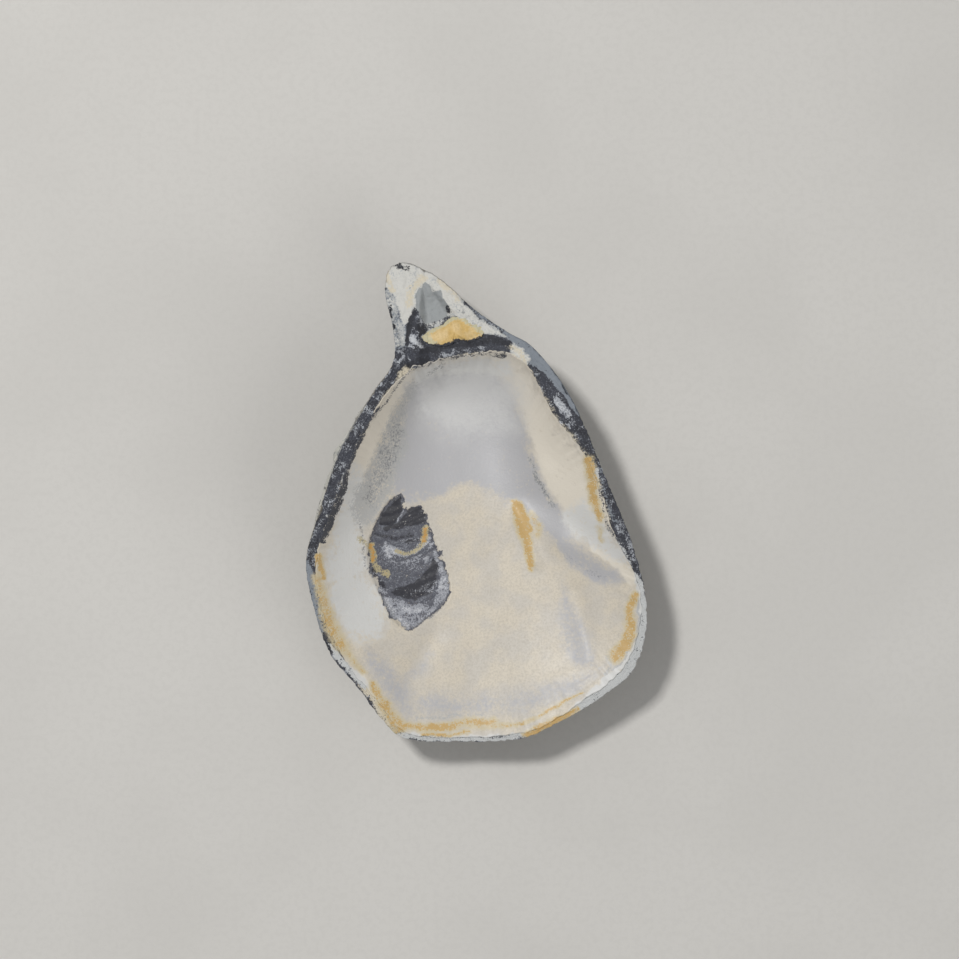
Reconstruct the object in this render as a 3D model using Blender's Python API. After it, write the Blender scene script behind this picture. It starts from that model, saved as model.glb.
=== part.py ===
"""The empty lower half of an oyster shell, lying on its cupped back with the hollow up.

The beak and hinge point along +Y, the origin is on the ground under the middle of the
shell, and lengths are metres. Two solids: the shell and the remains of its ligament.
"""

import math

import bpy
import numpy as np

MM = 0.001

# Driving sizes
LENGTH = 112.6 * MM
WIDTH = 79.8 * MM
FLOOR_HEIGHT = 6.2 * MM  # top of the shell wall at the bottom of the hollow
FLAT_SHARE = 0.03  # of the outside's rise, cut off level where the shell stands
LAMELLA_LIFT = 1.2 * MM  # how far a growth plate's free edge stands off the outside
RIB_HEIGHT = 1.5 * MM  # of the blunt ribs that run over the outside to the edge's corners
RIB_HALF_TURN = math.radians(4.5)
RIPPLE = 0.35 * MM  # up and down along the edge
HINGE_LINE_HEIGHT = 19.8 * MM
GROOVE_DEPTH = 2.2 * MM
GROOVE_HALF_WIDTH = 7.2 * MM  # at the hinge line; it narrows to nothing at its tip
GROOVE_TIP = np.array((-12.6, 52.5)) * MM
GROOVE_BASE = np.array((-7.2, 36.6)) * MM
SCAR_CENTRE = np.array((-16.4, -13.2)) * MM
SCAR_RADII = np.array((8.5, 15.8)) * MM
SCAR_TILT = math.radians(14.0)
SCAR_DEPTH = 0.7 * MM
BOWL_CENTRE = np.array((-1.0, -3.0)) * MM
UMBO = np.array((-10.8, 40.5)) * MM  # the oldest shell, where the growth lines start
LIGAMENT_CENTRE = np.array((-5.4, 39.8)) * MM
LIGAMENT_RADII = np.array((7.6, 3.9)) * MM
LIGAMENT_THICKNESS = 1.3 * MM
LIGAMENT_TURN = math.radians(9.0)
GAP = 0.35 * MM  # between the ligament and the groove that it lies in

# The edge seen from above, from the beak's tip clockwise, in millimetres.
OUTLINE = (
    (-18.4, 56.4),
    (-14.0, 55.6),
    (-8.0, 52.2),
    (-0.5, 45.4),
    (7.5, 39.9),
    (13.2, 36.4),
    (20.2, 27.8),
    (25.6, 17.6),
    (31.3, 3.6),
    (36.2, -8.4),
    (39.3, -19.5),
    (39.9, -29.5),
    (36.8, -39.2),
    (28.5, -46.2),
    (19.0, -51.8),
    (10.5, -55.4),
    (-2.0, -56.2),
    (-16.5, -55.4),
    (-22.6, -50.4),
    (-28.6, -42.6),
    (-34.6, -35.0),
    (-37.9, -25.5),
    (-39.9, -13.5),
    (-36.6, -1.5),
    (-32.0, 11.8),
    (-24.6, 25.0),
    (-19.6, 33.0),
    (-19.6, 40.6),
    (-21.4, 48.6),
    (-21.0, 54.0),
)

# The smooth lining's edge seen from above, from the hinge line's left end clockwise.
LINING = (
    (-18.2, 28.6),
    (-10.0, 33.2),
    (-1.0, 34.8),
    (7.6, 34.8),
    (13.0, 30.2),
    (17.6, 21.0),
    (24.6, 12.0),
    (28.6, 3.0),
    (32.6, -8.6),
    (37.6, -18.6),
    (37.9, -29.0),
    (33.6, -39.2),
    (24.0, -46.8),
    (12.6, -53.2),
    (-4.0, -54.7),
    (-16.6, -53.6),
    (-22.4, -47.0),
    (-31.4, -35.4),
    (-36.4, -22.6),
    (-36.8, -10.6),
    (-31.8, 3.0),
    (-26.2, 17.0),
)

# The wall round the hollow: angle in degrees; in millimetres the edge's height and its
# thickness; then how steep the inside is at the edge, and how full the outside is.
STATIONS = (
    (10, 18.6, 1.6, 2.4, 2.7),
    (45, 19.4, 1.9, 3.0, 2.7),
    (72, 19.6, 2.6, 4.6, 2.5),
    (92, 18.0, 4.2, 7.0, 2.2),
    (108, 16.2, 5.0, 7.0, 2.1),
    (122, 19.4, 3.4, 5.4, 2.4),
    (142, 21.2, 2.2, 3.9, 3.0),
    (168, 21.4, 1.9, 3.2, 3.1),
    (192, 20.0, 1.7, 2.8, 2.9),
    (216, 17.2, 1.5, 2.4, 2.6),
    (244, 14.6, 1.4, 2.1, 2.3),
    (270, 13.2, 1.4, 2.0, 2.2),
    (298, 14.0, 1.4, 2.0, 2.2),
    (326, 16.2, 1.4, 2.1, 2.4),
    (350, 18.6, 1.5, 2.3, 2.6),
)
HEIGHT, THICKNESS, STEEPNESS, FULLNESS = range(1, 5)

# Folds and hollows of the inside: start, end, height and half width, in millimetres.
FOLDS = (
    ((20.0, -9.5), (38.0, -16.5), 1.2, 3.0),
    ((12.0, 1.0), (33.0, -9.0), -0.9, 3.6),
    ((23.0, -21.0), (27.0, -37.0), -0.7, 2.6),
    ((10.0, 30.0), (15.0, 8.0), 0.8, 3.4),
    ((9.5, -1.5), (14.0, -14.0), 0.6, 1.5),
    ((-27.0, -34.0), (-21.0, -44.0), 0.6, 2.2),
    ((-10.5, -32.0), (-20.0, -46.0), -0.6, 2.8),
    ((-7.0, 20.0), (0.0, 16.0), -1.9, 12.0),
)

# Where the outside's ribs reach the edge, in millimetres.
RIB_ENDS = ((39.3, -19.5), (29.5, -45.6), (-16.5, -55.4), (-36.0, -32.0), (-38.5, -7.0))

# The mesh: columns from the edge inwards, and the rings of each surface
SEGMENTS = 104
BEAK_CROWDING = 0.4  # how much closer the columns stand at the beak
BOWL_SHARES = (0.88, 0.76, 0.65, 0.54, 0.44, 0.34, 0.25, 0.17, 0.11, 0.06, 0.025, 0.0)
MARGIN_SHARES = (0.75, 0.5, 0.22, 0.0)
PLATE_EDGES = (0.955, 0.88, 0.8, 0.71, 0.62, 0.52, 0.42, 0.31, 0.19)
PLATE_PROFILE = ((0.0, 0.0), (0.1, 1.0), (0.5, 0.4))
LIGAMENT_SEGMENTS, LIGAMENT_RINGS = 28, 12
SHARP_ANGLE = math.radians(40)


def clear_scene():
    """Removes whatever objects the file holds."""
    for item in list(bpy.data.objects):
        bpy.data.objects.remove(item)


def material(name, colour, roughness):
    """A plain finish without metal; the colour is linear."""
    made = bpy.data.materials.new(name)
    made.use_nodes = True
    shader = made.node_tree.nodes["Principled BSDF"]
    shader.inputs["Base Color"].default_value = (*colour, 1.0)
    shader.inputs["Roughness"].default_value = roughness
    shader.inputs["Metallic"].default_value = 0.0
    return made


def catmull_rom(before, start, end, after, t):
    """The curve from start to end, t from 0 to 1, that its two neighbours shape."""
    return 0.5 * (
        2 * start
        + (end - before) * t
        + (2 * before - 5 * start + 4 * end - after) * t**2
        + (3 * start - before - 3 * end + after) * t**3
    )


def smooth_loop(corners, samples=40):
    """A closed curve through the corners, as many points."""
    corners = np.array(corners) * MM
    t = np.linspace(0, 1, samples, endpoint=False)[:, None]
    spans = [
        catmull_rom(corners[i - 1], corners[i], corners[(i + 1) % len(corners)],
                    corners[(i + 2) % len(corners)], t)
        for i in range(len(corners))
    ]
    return np.concatenate(spans)


def placed(points):
    """Moves and scales points so that the edge has its true size round the origin."""
    edge = smooth_loop(OUTLINE)
    low, high = edge.min(0), edge.max(0)
    return (points - (low + high) / 2) * np.array((WIDTH, LENGTH)) / (high - low)


def edge_points(columns):
    """Points along the edge, spaced evenly but for a crowd at the beak."""
    loop = placed(smooth_loop(OUTLINE))
    closed = np.vstack([loop, loop[:1]])
    along = np.concatenate([[0], np.cumsum(np.linalg.norm(np.diff(closed, axis=0), axis=1))])
    turn = np.arange(columns) / columns
    turn = turn - BEAK_CROWDING * np.sin(2 * math.pi * turn) / (2 * math.pi)
    wanted = turn * along[-1]
    return np.stack([np.interp(wanted, along, closed[:, axis]) for axis in (0, 1)], axis=-1)


def polar(points):
    """Angle and distance of points seen from the middle of the hollow."""
    away = points - BOWL_CENTRE
    return np.arctan2(away[..., 1], away[..., 0]), np.linalg.norm(away, axis=-1)


def ribs(points):
    """How far the outside's ribs stand out: each is a ray from the umbo to the edge."""
    total = np.zeros(points.shape[:-1])
    away = points - UMBO
    bearing = np.arctan2(away[..., 1], away[..., 0])
    distance = np.linalg.norm(away, axis=-1)
    for end in RIB_ENDS:
        ray = np.array(end) * MM - UMBO
        aside = (bearing - math.atan2(ray[1], ray[0]) + math.pi) % (2 * math.pi) - math.pi
        share = np.clip(distance / np.linalg.norm(ray), 0, 1)
        total += RIB_HEIGHT * share**2 * np.exp(-((aside / RIB_HALF_TURN) ** 2))
    return total


def reach_of(corners):
    """A function that tells how far a loop is from the hollow's middle at any angle."""
    angles, distances = polar(placed(smooth_loop(corners)))
    order = np.argsort(angles)
    angles, distances = angles[order], distances[order]
    return lambda angle: np.interp(angle, angles, distances, period=2 * math.pi)


edge_distance = reach_of(OUTLINE)
lining_distance = reach_of(LINING)


def station(column, angle):
    """One column of STATIONS read at any angle, as a smooth curve through its rows."""
    rows = np.array(STATIONS, float)
    values = rows[:, column]
    knots = np.radians(rows[:, 0])
    turn = 2 * math.pi
    shifted = (np.asarray(angle) - knots[0]) % turn + knots[0]
    wide = np.concatenate([knots[-2:] - turn, knots, knots[:2] + turn])
    tall = np.concatenate([values[-2:], values, values[:2]])
    slopes = np.gradient(tall, wide)
    span = np.clip(np.searchsorted(wide, shifted, side="right") - 1, 0, len(wide) - 2)
    reach = wide[span + 1] - wide[span]
    t = (shifted - wide[span]) / reach
    return (
        tall[span] * (2 * t**3 - 3 * t**2 + 1)
        + slopes[span] * reach * (t**3 - 2 * t**2 + t)
        + tall[span + 1] * (3 * t**2 - 2 * t**3)
        + slopes[span + 1] * reach * (t**3 - t**2)
    )


def edge_height(angle):
    """Height of the edge's top in each direction, with its ripples."""
    ripples = 0.6 * np.sin(9 * angle + 0.7) + 0.4 * np.sin(14 * angle + 2.0)
    return station(HEIGHT, angle) * MM + RIPPLE * ripples


def ramp(value, low, high):
    """0 below low, 1 above high, with an even S between them."""
    t = np.clip((value - low) / (high - low), 0, 1)
    return t * t * (3 - 2 * t)


def segment_distance(points, start, end):
    """Distance of points from a straight line between two ends."""
    line = end - start
    share = np.clip((points - start) @ line / (line @ line), 0, 1)
    return np.linalg.norm(points - start - share[..., None] * line, axis=-1)


def folds(points):
    """The height that the folds add to the inside: one bell-shaped ridge for each."""
    total = np.zeros(points.shape[:-1])
    for start, end, height, half_width in FOLDS:
        away = segment_distance(points, np.array(start) * MM, np.array(end) * MM)
        total += height * MM * np.exp(-((away / (half_width * MM)) ** 2))
    return total


def scar(points):
    """The dent that the muscle left: a tilted oval, deepest at its lower end."""
    away = points - SCAR_CENTRE
    cosine, sine = math.cos(SCAR_TILT), math.sin(SCAR_TILT)
    across = (away[..., 0] * cosine + away[..., 1] * sine) / SCAR_RADII[0]
    along = (away[..., 1] * cosine - away[..., 0] * sine) / SCAR_RADII[1]
    inside = 1 - ramp(np.hypot(across, along), 0.8, 1.08)
    return -SCAR_DEPTH * inside * (1 - 0.35 * along)


def groove(points):
    """The ligament's groove: a trough that widens evenly from its tip to the hinge."""
    axis = GROOVE_BASE - GROOVE_TIP
    length = np.linalg.norm(axis)
    axis = axis / length
    away = points - GROOVE_TIP
    along = away @ axis / length
    across = np.abs(away[..., 0] * axis[1] - away[..., 1] * axis[0])
    half = GROOVE_HALF_WIDTH * np.clip(along, 0, 1) + 0.3 * MM
    ends = ramp(along, 0.0, 0.45) * (1 - ramp(along, 1.3, 1.8))
    return -GROOVE_DEPTH * ends * (1 - ramp(across / half, 0.45, 1.1))


def lining_height(angle):
    """Height of the lining's edge: just over the margin, and level at the hinge line."""
    edge = edge_height(angle)
    plate = edge_distance(angle) - lining_distance(angle)
    return edge + 0.4 * MM + (HINGE_LINE_HEIGHT - edge) * ramp(plate, 3 * MM, 14 * MM)


def around(angle, reach):
    """Points at these angles and distances from the middle of the hollow."""
    return BOWL_CENTRE + reach[..., None] * np.stack([np.cos(angle), np.sin(angle)], axis=-1)


def margin_height(angle, share):
    """Top of the margin and the hinge plate: share 0 is the edge and 1 the lining."""
    low = edge_height(angle)
    distance = edge_distance(angle)
    points = around(angle, distance + (lining_distance(angle) - distance) * share)
    slope = low + (lining_height(angle) - low) * share
    return slope + groove(points) * ramp(share, 0.0, 0.2)


def bowl_ring(angle, share):
    """A ring of the hollow: share 0 is the lining's edge and 1 the hollow's middle."""
    points = around(angle, lining_distance(angle) * (1 - share))
    top = margin_height(angle, 1.0)
    fall = 1 - (1 - share) ** station(STEEPNESS, angle)
    height = top - (top - FLOOR_HEIGHT) * fall
    relief = ramp(share, 0.0, 0.3) * (folds(points) + scar(points))
    return np.column_stack([points, height + relief])


def margin_ring(angle, share):
    """A ring of the margin and of the hinge plate."""
    distance = edge_distance(angle)
    points = around(angle, distance + (lining_distance(angle) - distance) * share)
    return np.column_stack([points, margin_height(angle, share)])


def outside_height(points):
    """The outside without its plates: a bowl that rises to the underside of the edge."""
    angle, distance = polar(points)
    share = distance / edge_distance(angle)
    top = edge_height(angle) - station(THICKNESS, angle) * MM
    rise = share ** station(FULLNESS, angle)
    bowl = top * np.maximum(rise - FLAT_SHARE, 0) / (1 - FLAT_SHARE)
    return bowl - ribs(points) * (1 - ramp(share, 0.86, 1.0))


def growth_ring(edge, growth, lift):
    """A growth line: the edge drawn in towards the umbo, lifted off the outside."""
    points = UMBO + (edge - UMBO) * growth[:, None]
    step = 0.2 * MM
    height = outside_height(points)
    slope_x = (outside_height(points + (step, 0)) - height) / step
    slope_y = (outside_height(points + (0, step)) - height) / step
    normal = np.stack([slope_x, slope_y, -np.ones_like(height)], axis=-1)
    normal /= np.linalg.norm(normal, axis=-1, keepdims=True)
    reach = np.linalg.norm(edge - UMBO, axis=-1)
    lift = lift * ramp(height, 0.0, 4 * MM) * ramp(reach, 2 * MM, 40 * MM)
    ring = np.column_stack([points, height]) + normal * lift[:, None]
    ring[:, 2] = np.maximum(ring[:, 2], 0)
    return ring


def plate_wobble(number, turn):
    """How far a plate's free edge strays from its growth line, as a share of the whole."""
    strays = ((3, 0.011), (5, 0.008), (11, 0.005))
    return sum(size * np.sin(waves * turn + 2.1 * number * waves) for waves, size in strays)


def outside_rings(edge):
    """Rings from the edge to the umbo: each growth plate has a foot, a lip and a back."""
    turn = 2 * math.pi * np.arange(len(edge)) / len(edge)
    rings = [growth_ring(edge, np.full(len(edge), 0.993), np.full(len(edge), 0.1 * MM))]
    limits = (*PLATE_EDGES, 0.05)
    for number, (outer, inner) in enumerate(zip(limits, limits[1:])):
        wobble = plate_wobble(number, turn)
        wave = 0.75 + 0.35 * np.sin(4 * turn + 1.7 * number)
        for depth, share in PLATE_PROFILE:
            growth = outer + (inner - outer) * depth + wobble * (1 - depth)
            rings.append(growth_ring(edge, growth, LAMELLA_LIFT * share * wave))
    return rings


def shell_rings():
    """Every ring of the shell, from the middle of the hollow over the edge to the umbo."""
    edge = edge_points(SEGMENTS)
    angle, _ = polar(edge)
    rings = [bowl_ring(angle, share) for share in BOWL_SHARES]
    rings += [margin_ring(angle, share) for share in MARGIN_SHARES]
    return rings + outside_rings(edge)


def moulded_sphere(name, rings, top, bottom):
    """A sphere primitive whose rings, top to bottom, and two poles are moved into place."""
    segments = len(rings[0])
    bpy.ops.mesh.primitive_uv_sphere_add(segments=segments, ring_count=len(rings) + 1)
    made = bpy.context.active_object
    made.name = made.data.name = name
    for vertex in made.data.vertices:
        x, y, z = vertex.co
        row = round((math.pi / 2 - math.asin(max(-1, min(1, z)))) * (len(rings) + 1) / math.pi)
        column = round(math.atan2(y, x) * segments / (2 * math.pi)) % segments
        if row == 0:
            vertex.co = top
        elif row > len(rings):
            vertex.co = bottom
        else:
            vertex.co = rings[row - 1][-column]
    made.data.shade_smooth()
    made.data.set_sharp_from_angle(angle=SHARP_ANGLE)
    return made


def make_shell():
    """The shell: its rings run clockwise seen from above, so columns are read backwards."""
    rings = shell_rings()
    middle = BOWL_CENTRE[None, :]
    floor = FLOOR_HEIGHT + float((folds(middle) + scar(middle))[0])
    umbo_height = float(outside_height(UMBO[None, :])[0]) - LAMELLA_LIFT / 2
    return moulded_sphere("shell", rings, (*BOWL_CENTRE, floor), (*UMBO, umbo_height))


def plate_height(points):
    """Top of the hinge plate, with its groove, at any point of it."""
    angle, distance = polar(points)
    outer, inner = edge_distance(angle), lining_distance(angle)
    return margin_height(angle, (outer - distance) / (outer - inner))


def make_ligament():
    """What is left of the ligament: a low pad whose underside follows the groove."""
    turn = np.arange(LIGAMENT_SEGMENTS) * 2 * math.pi / LIGAMENT_SEGMENTS
    cosine, sine = math.cos(LIGAMENT_TURN), math.sin(LIGAMENT_TURN)
    rings = []
    for row in range(1, LIGAMENT_RINGS + 1):
        latitude = math.pi / 2 - row * math.pi / (LIGAMENT_RINGS + 1)
        ragged = 1 + 0.1 * np.sin(3 * turn) + 0.06 * np.sin(7 * turn + 1.0)
        reach = math.cos(latitude) ** 0.6 * ragged
        across = LIGAMENT_RADII[0] * reach * np.cos(turn)
        along = LIGAMENT_RADII[1] * reach * np.sin(turn)
        spot = np.stack([across * cosine - along * sine, across * sine + along * cosine], axis=-1)
        points = LIGAMENT_CENTRE + spot
        base = plate_height(points) + GAP
        height = base + LIGAMENT_THICKNESS * (1 + math.sin(latitude)) / 2
        rings.append(np.column_stack([points, height])[::-1])
    middle = float(plate_height(LIGAMENT_CENTRE[None, :])[0]) + GAP
    top = (*LIGAMENT_CENTRE, middle + LIGAMENT_THICKNESS)
    return moulded_sphere("ligament", rings, top, (*LIGAMENT_CENTRE, middle))


def main():
    """Makes both solids, gives them their finishes and gathers them in one collection."""
    clear_scene()
    shell = make_shell()
    shell.data.materials.append(material("weathered_shell", (0.56, 0.54, 0.5), 0.55))
    ligament = make_ligament()
    ligament.data.materials.append(material("horny_ligament", (0.6, 0.38, 0.12), 0.5))
    gathered = bpy.data.collections.new("oyster_half_shell")
    bpy.context.scene.collection.children.link(gathered)
    for item in (shell, ligament):
        for holder in list(item.users_collection):
            holder.objects.unlink(item)
        gathered.objects.link(item)


main()
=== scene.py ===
"""Looks of the empty lower half of an oyster shell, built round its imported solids.

Everything is in metres in the frame of the solids: the hollow opens upwards, the beak
points along +Y and the shell stands on the ground at z = 0. The shell's shape is a set of
formulas in polar coordinates round the middle of the hollow, held by ShellForm, and each
visible layer is a class that samples them on a fine grid and adds its own relief.
"""

import logging
import math
from dataclasses import dataclass, field
from enum import Enum

import bpy
import numpy as np
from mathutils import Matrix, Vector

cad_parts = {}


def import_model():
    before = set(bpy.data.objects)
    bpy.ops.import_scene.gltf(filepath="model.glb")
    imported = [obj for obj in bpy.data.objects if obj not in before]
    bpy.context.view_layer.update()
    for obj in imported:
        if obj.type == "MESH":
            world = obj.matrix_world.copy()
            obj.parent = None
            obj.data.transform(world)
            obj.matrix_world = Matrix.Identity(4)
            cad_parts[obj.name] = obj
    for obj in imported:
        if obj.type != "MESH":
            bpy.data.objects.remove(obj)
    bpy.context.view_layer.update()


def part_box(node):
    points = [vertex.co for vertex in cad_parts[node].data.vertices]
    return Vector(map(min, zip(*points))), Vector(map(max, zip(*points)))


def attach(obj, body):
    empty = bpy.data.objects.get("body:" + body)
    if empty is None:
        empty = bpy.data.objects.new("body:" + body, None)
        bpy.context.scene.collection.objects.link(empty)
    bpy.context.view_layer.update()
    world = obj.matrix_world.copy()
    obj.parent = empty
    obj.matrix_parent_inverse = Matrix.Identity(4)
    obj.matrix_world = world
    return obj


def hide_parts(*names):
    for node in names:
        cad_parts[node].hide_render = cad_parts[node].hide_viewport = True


MM = 0.001
TURN = 2 * math.pi
TINY = 1e-12
LOG = logging.getLogger("oyster")
Array = np.ndarray
Point = tuple[float, float]
Socket = bpy.types.NodeSocket


class Mark(Enum):
    """Names of the surface marks, which are also the names of the mesh attributes."""

    CREAM = "cream"
    WHITE = "white"
    LAVENDER_AND_SHADE = "lavender_and_shade"
    PAINTED_LIGHT = "painted_light"
    SHADE = "shade"
    GOLD = "gold"
    SLATE = "slate"
    INK = "ink"
    STREAK = "streak"
    CHALK = "chalk"
    BLUE = "blue"
    GROOVE = "groove"
    FLAKE = "flake"
    SPECK = "speck"
    HALO = "halo"
    AMBER = "amber"
    EDGE = "edge"
    RELIEF = "relief"
    TAN = "tan"
    LIP = "lip"
    FLOW = "flow"


def ramp(value: Array, low: float, high: float) -> Array:
    """0 below low, 1 above high and an even S, 3t^2 - 2t^3, between them."""
    t = np.clip((value - low) / (high - low), 0, 1)
    return t * t * (3 - 2 * t)


def raised(points: Array, height: Array | float) -> Array:
    """Places seen from above as places in space at these heights."""
    heights = np.broadcast_to(height, points.shape[:-1])
    return np.concatenate([points, heights[..., None]], axis=-1)


def level(points: Array) -> Array:
    """Places seen from above as places in space at height 0."""
    return raised(points, 0.0)


def polar(points: Array, middle: Array) -> tuple[Array, Array]:
    """Angle and distance of places seen from a middle."""
    away = points - middle
    return np.arctan2(away[..., 1], away[..., 0]), np.linalg.norm(away, axis=-1)


def to_line(points: Array, start: Array, end: Array) -> tuple[Array, Array]:
    """Nearest way from places to a straight line between two ends.

    Args:
        points: places seen from above.
        start: the line's first end.
        end: its other end.

    Returns:
        Distances, and the share of the way along the line where each is measured.
    """
    line, away = end - start, points - start
    share = np.clip(away @ line / (line @ line), 0, 1)
    return np.linalg.norm(away - share[..., None] * line, axis=-1), share


@dataclass(frozen=True)
class Stroke:
    """A soft mark along a line seen from above; places and half widths are millimetres."""

    path: tuple[Point, ...]
    start_width: float
    end_width: float
    strength: float = 1.0

    def at(self, points: Array) -> Array:
        """How strong the mark is: strength * exp(-(distance / width)^2), the width running
        evenly from its start to its end along the path.

        Args:
            points: places seen from above, in metres.

        Returns:
            The mark's strength at each place.
        """
        corners = np.array(self.path) * MM
        lengths = np.linalg.norm(np.diff(corners, axis=0), axis=1)
        shares = np.concatenate([[0], np.cumsum(lengths)]) / lengths.sum()
        best = np.zeros(points.shape[:-1])
        for start, end, low, high in zip(corners, corners[1:], shares, shares[1:]):
            away, t = to_line(points, start, end)
            share = low + (high - low) * t
            width = (self.start_width + (self.end_width - self.start_width) * share) * MM
            best = np.maximum(best, np.exp(-((away / width) ** 2)))
        return self.strength * best


@dataclass(frozen=True)
class Patch:
    """A soft mark over a closed area seen from above; corners and softness are millimetres."""

    corners: tuple[Point, ...]
    soft: float
    strength: float = 1.0

    def at(self, points: Array) -> Array:
        """How strong the mark is: strength * S of the distance to the border, 0 where a
        place lies soft outside it and 1 where it lies soft inside.

        Args:
            points: places seen from above, in metres.

        Returns:
            The mark's strength at each place.
        """
        corners = np.array(self.corners) * MM
        nearest = np.full(points.shape[:-1], np.inf)
        crossings = np.zeros(points.shape[:-1], int)
        for start, end in zip(corners, np.roll(corners, -1, axis=0)):
            nearest = np.minimum(nearest, to_line(points, start, end)[0])
            spans = (start[1] > points[..., 1]) != (end[1] > points[..., 1])
            run, rise = end - start
            meets = start[0] + (points[..., 1] - start[1]) * run / (rise or TINY)
            crossings += spans & (points[..., 0] < meets)
        signed = np.where(crossings % 2 == 1, nearest, -nearest)
        return self.strength * ramp(signed, -self.soft * MM, self.soft * MM)


Blots = tuple[Stroke | Patch, ...]


def strokes_at(strokes: Blots, points: Array) -> Array:
    """The strongest of several strokes and patches at each place."""
    return np.max([stroke.at(points) for stroke in strokes], axis=0)


@dataclass
class Noise:
    """Seeded gradient noise in space, nearly always between -1 and 1."""

    seed: int
    cells: int = 32
    gain: float = 1.5
    octave_shift: float = 3.7
    octave_ratio: float = 2.13
    slopes: Array = field(init=False)
    turned: Array = field(init=False)

    def __post_init__(self) -> None:
        """Draws a direction for each lattice point, and a turn that hides the lattice."""
        chance = np.random.default_rng(self.seed)
        picked = chance.normal(size=(self.cells, self.cells, self.cells, 3))
        self.slopes = picked / np.linalg.norm(picked, axis=-1, keepdims=True)
        self.turned = np.linalg.qr(chance.normal(size=(3, 3)))[0]

    def at(self, points: Array, size: float) -> Array:
        """Noise whose bumps are about one size.

        Each of the eight lattice points round a place gives the dot product of its own
        direction with the way to the place; they are blended by 6t^5 - 15t^4 + 10t^3.

        Args:
            points: places in metres, x, y and z last.
            size: distance between two lattice points, in metres.

        Returns:
            The noise at each place.
        """
        scaled = points @ self.turned / size
        low = np.floor(scaled).astype(int)
        part = scaled - low
        fade = part**3 * (part * (part * 6 - 15) + 10)
        total = np.zeros(points.shape[:-1])
        for corner in np.ndindex(2, 2, 2):
            cell = (low + corner) % self.cells
            slope = self.slopes[cell[..., 0], cell[..., 1], cell[..., 2]]
            weight = np.prod(np.where(corner, fade, 1 - fade), axis=-1)
            total += weight * np.sum(slope * (part - corner), axis=-1)
        return total * self.gain

    def rough(self, points: Array, size: float, octaves: int = 3) -> Array:
        """Sum of noises, each half as strong and about half as large as the last.

        Args:
            points: places in metres, x, y and z last.
            size: size of the largest bumps, in metres.
            octaves: how many noises are added.

        Returns:
            The sum at each place.
        """
        return sum(
            0.5**step * self.at(points + self.octave_shift * step * size, size / self.octave_ratio**step)
            for step in range(octaves)
        )


@dataclass
class Loop:
    """A closed smooth curve seen from above, held as its distance from a middle.

    The curve is a Catmull-Rom spline through corners in millimetres. Any angle seen from
    the middle meets it once.
    """

    corners: tuple[Point, ...]
    middle: Array
    shift: Array = field(default_factory=lambda: np.zeros(2))
    scale: Array = field(default_factory=lambda: np.ones(2))
    points: Array = field(init=False)
    angles: Array = field(init=False)
    distances: Array = field(init=False)

    def __post_init__(self) -> None:
        """Samples the curve and sorts it by angle."""
        self.points = (self.spline(self.corners) - self.shift) * self.scale
        angles, distances = polar(self.points, self.middle)
        order = np.argsort(angles)
        self.angles, self.distances = angles[order], distances[order]

    @staticmethod
    def spline(corners: tuple[Point, ...], samples: int = 40) -> Array:
        """Points of the spline.

        Between two corners b and c with neighbours a and d the curve is
        (2b + (c - a)t + (2a - 5b + 4c - d)t^2 + (3b - a - 3c + d)t^3) / 2.

        Args:
            corners: places in millimetres.
            samples: points for each span.

        Returns:
            The points, in metres.
        """
        b = np.array(corners)[:, None] * MM
        a, c, d = (np.roll(b, step, axis=0) for step in (1, -1, -2))
        t = np.linspace(0, 1, samples, endpoint=False)[None, :, None]
        cubic = (3 * b - a - 3 * c + d) * t**3
        spans = (2 * b + (c - a) * t + (2 * a - 5 * b + 4 * c - d) * t**2 + cubic) / 2
        return spans.reshape(-1, 2)

    def reach(self, angle: Array) -> Array:
        """Distance of the curve from the middle at any angle."""
        return np.interp(angle, self.angles, self.distances, period=TURN)

    def beyond(self, points: Array) -> Array:
        """How far places lie outside the curve along the ray from the middle, in metres."""
        angle, distance = polar(points, self.middle)
        return distance - self.reach(angle)

    def columns(self, count: int, crowd: float = 0.0) -> Array:
        """Places along the curve, even but for a crowd at its first corner: the share of the
        way round is t - crowd * sin(2 pi t) / (2 pi).

        Args:
            count: how many places.
            crowd: 0 for even steps, up to 1 for very short ones at the first corner.

        Returns:
            The places, in metres.
        """
        closed = np.vstack([self.points, self.points[:1]])
        steps = np.linalg.norm(np.diff(closed, axis=0), axis=1)
        along = np.concatenate([[0], np.cumsum(steps)])
        t = np.arange(count) / count
        wanted = (t - crowd * np.sin(TURN * t) / TURN) * along[-1]
        return np.stack([np.interp(wanted, along, closed[:, axis]) for axis in (0, 1)], -1)


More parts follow.
